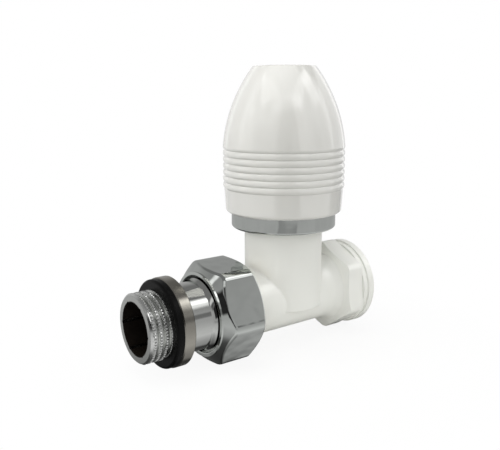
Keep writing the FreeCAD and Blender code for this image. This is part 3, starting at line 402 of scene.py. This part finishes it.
# %% Lamps
LAMPS = [
    # name, to the right, up, towards the camera, width, height, power, the finish whose gloss it makes
    ("left_softbox", -0.55, 0.32, 0.16, 0.45, 0.45, 1.6, None),
    ("right_softbox", 0.56, 0.36, 0.10, 0.40, 0.40, 1.25, None),
    ("top_softbox", -0.08, 0.68, 0.08, 0.45, 0.45, 2.7, None),
    ("front_fill", -0.16, 0.10, 0.58, 0.40, 0.40, 0.85, None),
    ("enamel_gloss", 0.46, 0.46, 0.05, 0.25, 0.25, 0.62, "white_enamel"),
    ("left_wall", -0.475, 0.16, 0.33, 0.97, 1.20, 1.8, "white_plastic"),
    ("far_left_wall", -0.54, 0.16, -0.24, 0.64, 1.20, 0.9, "white_plastic"),
    ("back_wall", 0.0, 0.16, -0.60, 1.60, 1.20, 2.4, "white_plastic"),
    ("right_wall", 0.52, 0.16, 0.26, 0.90, 1.20, 2.2, "white_plastic"),
    ("top_wall", -0.04, 0.56, 0.22, 0.90, 0.40, 0.9, "white_plastic"),
]

glossy_pieces = {finish: bpy.data.collections.new(finish) for finish in ("white_enamel", "white_plastic")}
for name, right, up, near, width, height, power, glossy in LAMPS:
    lamp_data = bpy.data.lights.new(name, "AREA")
    lamp_data.shape = "RECTANGLE"
    lamp_data.size = width
    lamp_data.size_y = height
    lamp_data.energy = power
    lamp = bpy.data.objects.new(name, lamp_data)
    lamp.location = valve_centre + studio_place(right, up, near)
    lamp.rotation_euler = (lamp.location - valve_centre).to_track_quat("Z", "Y").to_euler()
    lamp.visible_camera = False
    lamp.visible_glossy = glossy is not None
    lamp.visible_diffuse = glossy is None
    if glossy:
        lamp.light_linking.receiver_collection = glossy_pieces[glossy]
    bpy.context.scene.collection.objects.link(lamp)
print(len(LAMPS), "lamps")

# %% [markdown]
# ## Finishes
# A plain colour looks like a toy, so each finish gets the small things that the real one shows: the skin
# of sprayed enamel, the ripple under chrome plate, the fine rings that a lathe leaves. Painted images could
# hold these, but noise that reads the place on the part needs no unwrapping and stays put when a piece moves.

# %% Finish helper
BUMP_STRENGTH = 0.5
ROUNDING_SAMPLES = 6


class Finish:
    """A material under way: its nodes and the place on the part that they read."""

    def __init__(self, name):
        self.material, self.tree = new_material(name)
        self.place = self.node("ShaderNodeTexCoord", output="Object")

    def node(self, kind, settings=None, inputs=None, output=0):
        """A node of this finish."""
        return Socket.node(self.tree, kind, settings, inputs, output)

    def along(self, axis):
        """The part's X, Y or Z in metres."""
        return self.node("ShaderNodeSeparateXYZ", inputs={0: self.place}, output=axis)

    def from_axis(self):
        """The distance from the pipe's axis in metres."""
        across = self.node("ShaderNodeVectorMath", {"operation": "MULTIPLY"}, {0: self.place, 1: (0, 1, 1)})
        return self.node("ShaderNodeVectorMath", {"operation": "LENGTH"}, {0: across}, "Value")

    def stretched(self, scale):
        """The place on the part, scaled differently along each axis."""
        return self.node("ShaderNodeMapping", inputs={"Vector": self.place, "Scale": scale})

    def noise(self, lumps, detail=2.0, vector=None):
        """Smooth noise from 0 to 1 with so many lumps per metre."""
        inputs = {"Vector": vector or self.place, "Scale": lumps, "Detail": detail}
        return self.node("ShaderNodeTexNoise", inputs=inputs, output="Fac")

    def blend(self, factor, first, second):
        """A colour between two others."""
        inputs = {"Factor": factor, 6: first, 7: second}
        return self.node("ShaderNodeMix", {"data_type": "RGBA"}, inputs, output=2)

    def bump(self, pattern, height, under=None):
        """A normal bumped by a pattern of so many metres, on top of another where one is given."""
        inputs = {"Height": pattern, "Distance": height, "Strength": BUMP_STRENGTH}
        if under is not None:
            inputs["Normal"] = under
        return self.node("ShaderNodeBump", inputs=inputs)

    def rounded(self, radius):
        """The normal with every edge rounded off, as a coat of paint does."""
        return self.node("ShaderNodeBevel", {"samples": ROUNDING_SAMPLES}, {"Radius": radius})

    def shade(self, **values):
        """Ends the finish in its main shader, fed with constants and varying values."""
        inputs = {socket_name.replace("_", " "): value for socket_name, value in values.items()}
        shader = self.node("ShaderNodeBsdfPrincipled", inputs=inputs)
        self.node("ShaderNodeOutputMaterial", inputs={"Surface": shader})
        print(self.material.name, "has", len(self.tree.nodes), "nodes")
        return self.material


finishes = {}
print("finish helper ready")

# %% [markdown]
# ### White enamel of the body
# The brass body is sprayed white, and only its machined ends stay bare: the bores and the union's thread.
# Faces could be given two materials, but the thread is one skin with the body, so a single material asks
# each point how far it lies along the pipe and from its axis, and shows brass there.
# Fine noise is the sprayed skin, broad noise its slow ripple, and edges are rounded in the shading.

# %% White enamel
ENAMEL_LIGHT, ENAMEL_DIM = (0.905, 0.91, 0.862, 1), (0.875, 0.88, 0.832, 1)
BARE_LIGHT, BARE_DIM = (0.74, 0.55, 0.27, 1), (0.62, 0.44, 0.20, 1)
BARE_BORE_RADIUS = 10.55 * MM
BARE_BORE_END = 77.3 * MM
BARE_UNION_END = 29.2 * MM
SKIN_HEIGHT, RIPPLE_HEIGHT = 0.002 * MM, 0.03 * MM
EDGE_ROUNDING = 0.5 * MM

enamel = Finish("white_enamel")
bare = (enamel.from_axis() < BARE_BORE_RADIUS) * (enamel.along("X") < BARE_BORE_END)
bare = bare.math("MAXIMUM", enamel.along("X") < BARE_UNION_END)
paint = enamel.blend(enamel.noise(lumps=90.0, detail=3.0), ENAMEL_LIGHT, ENAMEL_DIM)
metal = enamel.blend(enamel.noise(lumps=300.0, detail=3.0), BARE_LIGHT, BARE_DIM)
rippled = enamel.bump(enamel.noise(lumps=160.0, detail=1.0), RIPPLE_HEIGHT, enamel.rounded(EDGE_ROUNDING))
finishes["white_enamel"] = enamel.shade(
    Specular_IOR_Level=0.5,
    Coat_Roughness=0.3,
    Base_Color=enamel.blend(bare, paint, metal),
    Roughness=0.30 + 0.06 * enamel.noise(lumps=240.0, detail=3.0),
    Metallic=bare,
    Coat_Weight=(0.2 + 0.1 * enamel.noise(lumps=120.0)) * (1 - bare),
    Normal=enamel.bump(enamel.noise(lumps=1400.0), SKIN_HEIGHT, rippled),
)

# %% [markdown]
# ### Moulded plastic of the handwheel
# The handwheel is moulded in glossy white plastic. A perfect gloss would look like glass, so its normal gets
# a slow flow pattern, drawn out along the spindle as the plastic flowed, which bends the highlights.

# %% Moulded white plastic
PLASTIC_LIGHT, PLASTIC_DIM = (0.73, 0.725, 0.687, 1), (0.715, 0.71, 0.673, 1)
FLOW_STRETCH = (1.0, 1.0, 0.4)
FLOW_HEIGHT, GRAIN_HEIGHT = 0.06 * MM, 0.0008 * MM

moulded = Finish("white_plastic")
flow = moulded.noise(lumps=40.0, vector=moulded.stretched(FLOW_STRETCH))
grained = moulded.bump(moulded.noise(lumps=1800.0), GRAIN_HEIGHT)
finishes["white_plastic"] = moulded.shade(
    Specular_IOR_Level=0.8,
    Coat_Roughness=0.04,
    Base_Color=moulded.blend(moulded.noise(lumps=60.0), PLASTIC_LIGHT, PLASTIC_DIM),
    Roughness=0.10 + 0.04 * moulded.noise(lumps=500.0),
    Coat_Weight=0.8 + 0.1 * flow,
    Normal=moulded.bump(flow, FLOW_HEIGHT, grained),
)

# %% [markdown]
# ### Chrome plate of the nut and collar
# Chrome is a mirror with a greyish tint. The brass under it is polished by hand and never quite flat, so a
# broad ripple bends the mirrored tent. More roughness would only blur it, and the plate would look painted.

# %% Polished chrome
CHROME_LIGHT, CHROME_DIM = (0.69, 0.715, 0.69, 1), (0.63, 0.655, 0.63, 1)
POLISH_HEIGHT = 0.3 * MM

chrome = Finish("chrome")
smear = chrome.noise(lumps=130.0, detail=4.0)
finishes["chrome"] = chrome.shade(
    Metallic=1.0,
    Specular_IOR_Level=0.5,
    Base_Color=chrome.blend(smear, CHROME_LIGHT, CHROME_DIM),
    Roughness=0.02 + 0.04 * smear,
    Normal=chrome.bump(chrome.noise(lumps=170.0, detail=1.0), POLISH_HEIGHT),
)

# %% [markdown]
# ### Turned chrome of the tail
# The tail is plated as it leaves the lathe, and the neck shows fine rings. The thread is painted a lighter
# grey than the neck as a painted sheen, its roots and notches are painted darker as painted shade, the end is
# painted a darker grey as painted shade, and the bore is tarnished and painted almost black, partly tarnish
# and partly painted shade. Several materials could do this, but each of these places is known by its radius
# or its x, and the thread stores its notches on its points.

# %% Turned chrome
SEAL_FACE = 0.0
END_FACE_X = -6.66 * MM
BORE_SHADE_RADIUS = 8.2 * MM
# Painted shade: the thread's roots are painted darker inside these radii, and its notches darker still.
ROOT_SHADE_FULL_RADIUS, ROOT_SHADE_END_RADIUS = 9.35 * MM, 9.9 * MM
ROOT_SHADE_SHARE, NOTCH_SHADE_SHARE = 0.25, 0.65
NECK_LIGHT, NECK_DIM = (0.74, 0.75, 0.73, 1), (0.62, 0.63, 0.61, 1)
# The thread's grey is a painted sheen, lighter than the neck, and the end's grey is painted shade.
THREAD_SHEEN_GREY, END_SHADE_GREY = (0.92, 0.93, 0.91, 1), (0.62, 0.63, 0.61, 1)
ROOT_SHADE_GREY, NOTCH_SHADE_GREY = (0.10, 0.10, 0.10, 1), (0.05, 0.05, 0.05, 1)
# The bore's colours are partly brass tarnish and partly painted shade, near black for the deep hole.
TARNISH_SHADE_LIGHT, TARNISH_SHADE_DARK = (0.018, 0.013, 0.009, 1), (0.007, 0.005, 0.004, 1)
TAIL_RING_STRETCH = (7000.0, 40.0, 40.0)
TAIL_RING_HEIGHT = 0.003 * MM

turned = Finish("turned_chrome")
tail_rings = turned.noise(lumps=1.0, vector=turned.stretched(TAIL_RING_STRETCH))
tail_radius = turned.from_axis()
in_bore = tail_radius < BORE_SHADE_RADIUS
on_thread = turned.along("X") < SEAL_FACE
# The notch depth stored on the thread's points also sets how much painted shade each notch gets.
notched = turned.node("ShaderNodeAttribute", {"attribute_name": "notch"}, output="Fac")
# Painted shade in the roots: full at the root and gone towards the crest.
root_shade = turned.node(
    "ShaderNodeMapRange",
    inputs={0: tail_radius, 1: ROOT_SHADE_FULL_RADIUS, 2: ROOT_SHADE_END_RADIUS, 3: 1.0, 4: 0.0},
)
plate = turned.blend(turned.noise(lumps=200.0, detail=4.0), NECK_LIGHT, NECK_DIM)
# Painted sheen: the thread is painted a lighter grey than the neck.
plate = turned.blend(on_thread, plate, THREAD_SHEEN_GREY)
# Painted shade in the thread's roots and in its notches.
plate = turned.blend(ROOT_SHADE_SHARE * on_thread * root_shade, plate, ROOT_SHADE_GREY)
plate = turned.blend(NOTCH_SHADE_SHARE * notched, plate, NOTCH_SHADE_GREY)
# Painted shade: the end face is painted a darker grey than the plate.
plate = turned.blend(turned.along("X") < END_FACE_X, plate, END_SHADE_GREY)
# Tarnish and painted shade of the bore.
bore_tarnish_and_shade = turned.blend(turned.noise(lumps=420.0, detail=3.0), TARNISH_SHADE_LIGHT, TARNISH_SHADE_DARK)
finishes["turned_chrome"] = turned.shade(
    Specular_IOR_Level=0.5,
    Base_Color=turned.blend(in_bore, plate, bore_tarnish_and_shade),
    Roughness=0.07 + 0.06 * tail_rings + 0.12 * on_thread + 0.3 * in_bore,
    Metallic=1 - 0.6 * in_bore,
    Normal=turned.bump(tail_rings, TAIL_RING_HEIGHT),
)

# %% [markdown]
# ### Nickel of the backing ring
# The ring behind the rubber seal is turned and nickel plated, warmer and duller than chrome. The lathe's
# rings could be modelled as grooves, but they are too fine to see one by one, so noise is squeezed along
# the pipe until its lumps become rings.

# %% Nickel
NICKEL_LIGHT, NICKEL_DIM = (0.50, 0.48, 0.43, 1), (0.40, 0.38, 0.335, 1)
NICKEL_RING_STRETCH = (9000.0, 60.0, 60.0)
NICKEL_RING_HEIGHT = 0.004 * MM

nickel = Finish("nickel")
nickel_rings = nickel.noise(lumps=1.0, detail=3.0, vector=nickel.stretched(NICKEL_RING_STRETCH))
finishes["nickel"] = nickel.shade(
    Metallic=1.0,
    Specular_IOR_Level=0.5,
    Base_Color=nickel.blend(nickel.noise(lumps=180.0, detail=4.0), NICKEL_LIGHT, NICKEL_DIM),
    Roughness=0.12 + 0.12 * nickel_rings,
    Normal=nickel.bump(nickel_rings, NICKEL_RING_HEIGHT),
)

# %% [markdown]
# ### Rubber of the seals
# Moulded rubber is almost black and shines a little. Black alone would be a hole in the picture, so a fine
# grain breaks its highlight up.

# %% Black rubber
RUBBER_DARK, RUBBER_LIGHT = (0.002, 0.002, 0.002, 1), (0.004, 0.004, 0.004, 1)
RUBBER_GRAIN_HEIGHT = 0.004 * MM

rubber = Finish("black_rubber")
grain = rubber.noise(lumps=2200.0, detail=3.0)
finishes["black_rubber"] = rubber.shade(
    Specular_IOR_Level=0.13,
    Base_Color=rubber.blend(rubber.noise(lumps=300.0, detail=3.0), RUBBER_DARK, RUBBER_LIGHT),
    Roughness=0.28 + 0.12 * grain,
    Normal=rubber.bump(grain, RUBBER_GRAIN_HEIGHT),
)

# %% [markdown]
# ### Brass, steel and washer polymer
# The spindle and its fittings are turned brass, the screws and clips are zinc plated, and the stop ring is
# a pale polymer. They sit inside, where little light falls, so noise in colour, roughness and normal is
# enough, with the brass rings squeezed along the spindle instead of the pipe.

# %% Brass, steel and polymer
BRASS_LIGHT, BRASS_DIM = (0.72, 0.52, 0.24, 1), (0.58, 0.40, 0.18, 1)
BRASS_RING_STRETCH = (120.0, 120.0, 12000.0)
ZINC_LIGHT, ZINC_DIM = (0.62, 0.62, 0.62, 1), (0.48, 0.49, 0.5, 1)
POLYMER_LIGHT, POLYMER_DIM = (0.78, 0.76, 0.70, 1), (0.70, 0.68, 0.62, 1)
BRASS_RING_HEIGHT = 0.01 * MM
ZINC_HEIGHT = 0.008 * MM
POLYMER_HEIGHT = 0.01 * MM

brass = Finish("brass")
brass_rings = brass.noise(lumps=1.0, detail=3.0, vector=brass.stretched(BRASS_RING_STRETCH))
finishes["brass"] = brass.shade(
    Metallic=1.0,
    Base_Color=brass.blend(brass.noise(lumps=200.0, detail=3.0), BRASS_LIGHT, BRASS_DIM),
    Roughness=0.22 + 0.2 * brass_rings,
    Normal=brass.bump(brass_rings, BRASS_RING_HEIGHT),
)

steel = Finish("steel")
finishes["steel"] = steel.shade(
    Metallic=1.0,
    Base_Color=steel.blend(steel.noise(lumps=900.0, detail=3.0), ZINC_LIGHT, ZINC_DIM),
    Roughness=0.28 + 0.2 * steel.noise(lumps=1500.0),
    Normal=steel.bump(steel.noise(lumps=3000.0), ZINC_HEIGHT),
)

polymer = Finish("pale_polymer")
finishes["pale_polymer"] = polymer.shade(
    Base_Color=polymer.blend(polymer.noise(lumps=400.0), POLYMER_LIGHT, POLYMER_DIM),
    Roughness=0.5 + 0.15 * polymer.noise(lumps=1200.0),
    Normal=polymer.bump(polymer.noise(lumps=2600.0), POLYMER_HEIGHT),
)

# %% [markdown]
# ### Finishes on the solids
# The part's record names a finish for every solid, so one loop hands them all out. The body and the
# handwheel also join the collection that their highlights are linked to. The flat cap on the handwheel
# stays out, because it would mirror a whole wall at once and turn plain white.

# %% Give each solid its finish
WITHOUT_HIGHLIGHTS = "handwheel_cap"

for part in frame["record"]["subparts"]:
    solid = frame["nodes"][part["node"]]
    finish = part["material_slot"]
    for slot in solid.material_slots:
        slot.material = finishes[finish]
    if finish in glossy_pieces and part["node"] != WITHOUT_HIGHLIGHTS:
        glossy_pieces[finish].objects.link(solid)

# %% [markdown]
# ## Threaded tail
# The tail screws into the radiator. Its thread is cut with small notches across the crests, which hold the
# sealing tape, and they make it glitter. A thread could be a texture, but its silhouette shows, so it is
# real geometry: one pitch of the profile is spun round the axis while it moves along, and the turns are
# merged into one skin.

# %% Thread helpers
PITCH = 1.814 * MM
THREAD_SHAPE = [
    # share of the pitch, share of the depth
    (0.0, 0.0), (0.11, 0.0), (0.30, 0.78), (0.34, 0.93), (0.40, 1.0),
    (0.60, 1.0), (0.66, 0.93), (0.70, 0.78), (0.89, 0.0), (1.0, 0.0),
]
TURN_MERGE = 0.004 * MM
CUT_MERGE = 0.001 * MM


def spin_thread(bm, root, crest, start, end, steps):
    """A screw thread's skin round the X axis, cut off square at both ends, with so many steps a turn."""
    first = start - PITCH
    profile = [
        bm.verts.new((first + along * PITCH, 0, root + depth * (crest - root)))
        for along, depth in THREAD_SHAPE
    ]
    line = [bm.edges.new(pair) for pair in zip(profile, profile[1:])]
    turns = math.ceil((end - first) / PITCH)
    bmesh.ops.spin(
        bm, geom=profile + line, cent=(0, 0, 0), axis=(1, 0, 0), dvec=(PITCH / steps, 0, 0),
        angle=turns * math.tau, steps=turns * steps, use_merge=False, use_duplicate=False,
    )
    bmesh.ops.remove_doubles(bm, verts=bm.verts[:], dist=TURN_MERGE)
    for cut, side in ((start, -1), (end, 1)):
        bmesh.ops.bisect_plane(
            bm, geom=bm.verts[:] + bm.edges[:] + bm.faces[:], dist=CUT_MERGE,
            plane_co=(cut, 0, 0), plane_no=(side, 0, 0), clear_outer=True,
        )


def distance_from_axis(point):
    """Radius of a point round the pipe's axis."""
    return math.hypot(point.y, point.z)


def set_radius(vert, radius):
    """Moves a point straight in or out, to a radius round the pipe's axis."""
    scale = radius / distance_from_axis(vert.co)
    vert.co.y *= scale
    vert.co.z *= scale


print("thread with a pitch of", round(PITCH / MM, 3), "mm")

# %% Tail thread with notched crests
TAIL_END = -6.7 * MM
TAIL_CREST, TAIL_ROOT = 10.4775 * MM, 9.3155 * MM
TAIL_STEPS = 216
END_BEVEL = 0.6 * MM
LEAD_IN = 0.9 * MM
NOTCH_DEPTH = 0.3 * MM
NOTCH_SPACING = 3
NOTCH_ABOVE = 0.9
NOTCH_LEAST, NOTCH_MOST = 0.5, 1.0
NOTCH_SEED = 8

bm = bmesh.new()
spin_thread(bm, TAIL_ROOT, TAIL_CREST, TAIL_END, SEAL_FACE, TAIL_STEPS)
chance = random.Random(NOTCH_SEED)
notch_mark = bm.verts.layers.float.new("notch")
for vert in bm.verts:
    from_end = vert.co.x - TAIL_END
    radius = distance_from_axis(vert.co)
    bevel_radius = min(TAIL_CREST, TAIL_CREST - END_BEVEL + from_end)
    lead = min(max((from_end - END_BEVEL) / (LEAD_IN - END_BEVEL), 0), 1)
    column = round(math.atan2(vert.co.z, vert.co.y) / math.tau * TAIL_STEPS)
    above_root = (radius - TAIL_ROOT) / (TAIL_CREST - TAIL_ROOT)
    if column % NOTCH_SPACING == 0 and above_root > NOTCH_ABOVE and lead == 1:
        vert[notch_mark] = chance.uniform(NOTCH_LEAST, NOTCH_MOST)
        radius -= NOTCH_DEPTH * vert[notch_mark]
    set_radius(vert, (1 - lead) * bevel_radius + lead * min(radius, bevel_radius))
print("thread faces:", len(bm.faces))

# %% [markdown]
# The rest of the tail is turned. It could be a second spun profile, but the bore isn't round: it has six
# small corners where a hexagon key fits. So its outline starts as a circle with those corners, and that
# ring is carried through the bore, round the nose and back along the outside to the thread.

# %% Lathe helpers
SHARP_ANGLE = math.radians(28)
PLANE_MERGE = 0.002 * MM


def extrude_ring(bm, edges):
    """Extrudes a ring of edges where it is, and returns its new points and edges."""
    made = bmesh.ops.extrude_edge_only(bm, edges=edges)["geom"]
    verts = [item for item in made if isinstance(item, bmesh.types.BMVert)]
    fresh = set(verts)
    rim = [item for item in made if isinstance(item, bmesh.types.BMEdge) and set(item.verts) <= fresh]
    return verts, rim


def lathe_on(bm, edges, stations):
    """Carries an open ring of edges on through (x, radius) stations, as a lathe tool would go."""
    for x, radius in stations:
        verts, edges = extrude_ring(bm, edges)
        for vert in verts:
            vert.co.x = x
            set_radius(vert, radius)


def mark_sharp(bm):
    """Smooth shading, with the edges that really turn a corner kept sharp."""
    for face in bm.faces:
        face.smooth = True
    for edge in bm.edges:
        edge.smooth = len(edge.link_faces) == 2 and edge.calc_face_angle() < SHARP_ANGLE


def ring_at(bm, x):
    """The open edges that lie in one plane across the pipe."""
    return [
        edge for edge in bm.edges
        if edge.is_boundary and all(abs(vert.co.x - x) < PLANE_MERGE for vert in edge.verts)
    ]


print("edges over", round(math.degrees(SHARP_ANGLE)), "degrees stay sharp")

# %% Key bore
BORE_RADIUS = 7.95 * MM
KEY_FLATS = 14.7 * MM
KEY_DEPTH = 11.0 * MM
KEY_SIDE = math.radians(60)
BORE_STEPS = 192

ring = bmesh.ops.create_circle(
    bm, segments=BORE_STEPS, radius=BORE_RADIUS,
    matrix=Matrix.Translation((TAIL_END, 0, 0)) @ Matrix.Rotation(math.radians(90), 4, "Y"),
)["verts"]
for vert in ring:
    from_flat = math.atan2(vert.co.z, vert.co.y) % KEY_SIDE - KEY_SIDE / 2
    set_radius(vert, max(BORE_RADIUS, KEY_FLATS / 2 / math.cos(from_flat)))
mouth = list(dict.fromkeys(edge for vert in ring for edge in vert.link_edges))
key_verts, key_edges = extrude_ring(bm, mouth)
bmesh.ops.translate(bm, verts=key_verts, vec=(KEY_DEPTH, 0, 0))
print("key bore:", len(key_verts), "points round")

# %% Nose, collar, flare and neck
BORE_END, WATERWAY_START = 13.0 * MM, 17.7 * MM
WATERWAY_RADIUS = 7.0 * MM
NOSE_TIP, NOSE_RADIUS, NOSE_FOOT_RADIUS = 21.8 * MM, 8.12 * MM, 9.62 * MM
COLLAR_START, COLLAR_END = 17.7 * MM, 20.3 * MM
COLLAR_RADIUS, COLLAR_BEVEL = 12.55 * MM, 0.3 * MM
NECK_RADIUS, SHOULDER_RADIUS = 10.611 * MM, 11.271 * MM
NECK_END, SHOULDER_START = 13.0 * MM, 14.6 * MM
FLARE_STEPS = 8
RING_SEAT_END, SEAL_SEAT_END = 5.9 * MM, 2.3 * MM
SEAL_SEAT_RADIUS = TAIL_ROOT - 0.1 * MM

flare = []
for step in range(1, FLARE_STEPS):
    share = step / FLARE_STEPS
    flare.append((
        NECK_END + (SHOULDER_START - NECK_END) * share,
        NECK_RADIUS + (SHOULDER_RADIUS - NECK_RADIUS) * share ** 2,
    ))
lathe_on(bm, key_edges, [
    (TAIL_END + KEY_DEPTH, BORE_RADIUS),
    (BORE_END, BORE_RADIUS),
    (WATERWAY_START, WATERWAY_RADIUS),
    (NOSE_TIP, WATERWAY_RADIUS),
    (NOSE_TIP, NOSE_RADIUS),
    (COLLAR_END, NOSE_FOOT_RADIUS),
    (COLLAR_END, COLLAR_RADIUS - COLLAR_BEVEL),
    (COLLAR_END - COLLAR_BEVEL, COLLAR_RADIUS),
    (COLLAR_START + COLLAR_BEVEL, COLLAR_RADIUS),
    (COLLAR_START, COLLAR_RADIUS - COLLAR_BEVEL),
    (COLLAR_START, SHOULDER_RADIUS),
    (SHOULDER_START, SHOULDER_RADIUS),
    *reversed(flare),
    (NECK_END, NECK_RADIUS),
    (RING_SEAT_END, NECK_RADIUS),
    (RING_SEAT_END, TAIL_CREST),
    (SEAL_SEAT_END, TAIL_CREST),
    (SEAL_SEAT_END, SEAL_SEAT_RADIUS),
    (SEAL_FACE, SEAL_SEAT_RADIUS),
])
print("turned tail:", len(bm.faces), "faces")

# %% [markdown]
# A flat ring closes the gap between thread and turned part at each end, so that the tail is one skin. It
# could all be shaded smooth, but that would blur the notches that make the thread glitter, so the thread
# keeps flat faces.

# %% Close the tail
ROOT_SLACK = 0.05 * MM

bmesh.ops.triangle_fill(bm, edges=ring_at(bm, TAIL_END), use_beauty=True, normal=(-1, 0, 0))
bmesh.ops.triangle_fill(bm, edges=ring_at(bm, SEAL_FACE), use_beauty=True, normal=(1, 0, 0))
bmesh.ops.remove_doubles(bm, verts=bm.verts[:], dist=PLANE_MERGE)
bmesh.ops.recalc_face_normals(bm, faces=bm.faces[:])
mark_sharp(bm)
for face in bm.faces:
    middle = face.calc_center_median()
    beside_thread = TAIL_END + LEAD_IN < middle.x < SEAL_FACE
    outside = distance_from_axis(middle) > TAIL_ROOT - ROOT_SLACK
    face.smooth = not (beside_thread and outside)
open_edges = sum(edge.is_boundary for edge in bm.edges)
print("tail:", len(bm.faces), "faces,", open_edges, "open edges")
threaded_tail = add_object("threaded_tail", bm)
threaded_tail.data.materials.append(finishes["turned_chrome"])
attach(threaded_tail, "tail")
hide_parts("tailpiece")

# %% [markdown]
# ## Threads of the body
# The pipe screws into the inlet, and the union nut onto the other end. The body is a good shape already, so
# a merged copy of its solid keeps it, and only the two plain cylinders where the threads belong are taken
# out. Each gets a spun thread that fades out at both ends, bridged to the rims that the cylinder left.

# %% Thread cutter
BODY_STEPS = 96
RIM_GAP = 0.06 * MM
RUN_OUT = 1.2 * MM
CYLINDER_SLACK = 0.01 * MM


def on_cylinder(point, start, end, radius):
    """Whether a point lies on a plain cylinder round the pipe's axis."""
    at_radius = abs(distance_from_axis(point) - radius) < CYLINDER_SLACK
    return at_radius and start - RIM_GAP < point.x < end + RIM_GAP


def cut_thread(bm, start, end, root, crest):
    """Swaps a plain cylinder at the crest radius for a thread that fades out at both ends."""
    plain = [
        face for face in bm.faces
        if all(on_cylinder(vert.co, start, end, crest) for vert in face.verts)
    ]
    bmesh.ops.delete(bm, geom=plain, context="FACES")
    thread = bmesh.new()
    spin_thread(thread, root, crest, start + RIM_GAP, end - RIM_GAP, BODY_STEPS)
    for vert in thread.verts:
        inward = min(vert.co.x - start, end - vert.co.x) - RIM_GAP
        share = min(max(inward / RUN_OUT, 0), 1)
        set_radius(vert, crest + share * (distance_from_axis(vert.co) - crest))
    skin = bpy.data.meshes.new("thread_skin")
    thread.to_mesh(skin)
    thread.free()
    bm.from_mesh(skin)
    bpy.data.meshes.remove(skin)
    for rim, cut in ((start, start + RIM_GAP), (end, end - RIM_GAP)):
        bmesh.ops.bridge_loops(bm, edges=ring_at(bm, rim) + ring_at(bm, cut))
    return len(plain)


print("body threads have", BODY_STEPS, "steps a turn")

# %% Body with an inlet thread and a union thread
BODY_THREADS = [
    # start, end, root radius and crest radius of the inlet's thread and of the union's
    (64.38 * MM, 76.38 * MM, 10.4775 * MM, 9.3155 * MM),
    (21.28 * MM, 28.28 * MM, 12.06 * MM, 13.22 * MM),
]
COPY_MERGE = 0.001 * MM

bm = bmesh.new()
bm.from_mesh(frame["nodes"]["valve_body"].data)
bmesh.ops.remove_doubles(bm, verts=bm.verts[:], dist=COPY_MERGE)
for measures in BODY_THREADS:
    print("plain faces taken out:", cut_thread(bm, *measures))
bmesh.ops.recalc_face_normals(bm, faces=bm.faces[:])
mark_sharp(bm)
open_edges = sum(edge.is_boundary for edge in bm.edges)
print("body:", len(bm.faces), "faces,", open_edges, "open edges")
threaded_body = add_object("threaded_body", bm)
threaded_body.data.materials.append(finishes["white_enamel"])
glossy_pieces["white_enamel"].objects.link(threaded_body)
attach(threaded_body, "valve")
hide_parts("valve_body")
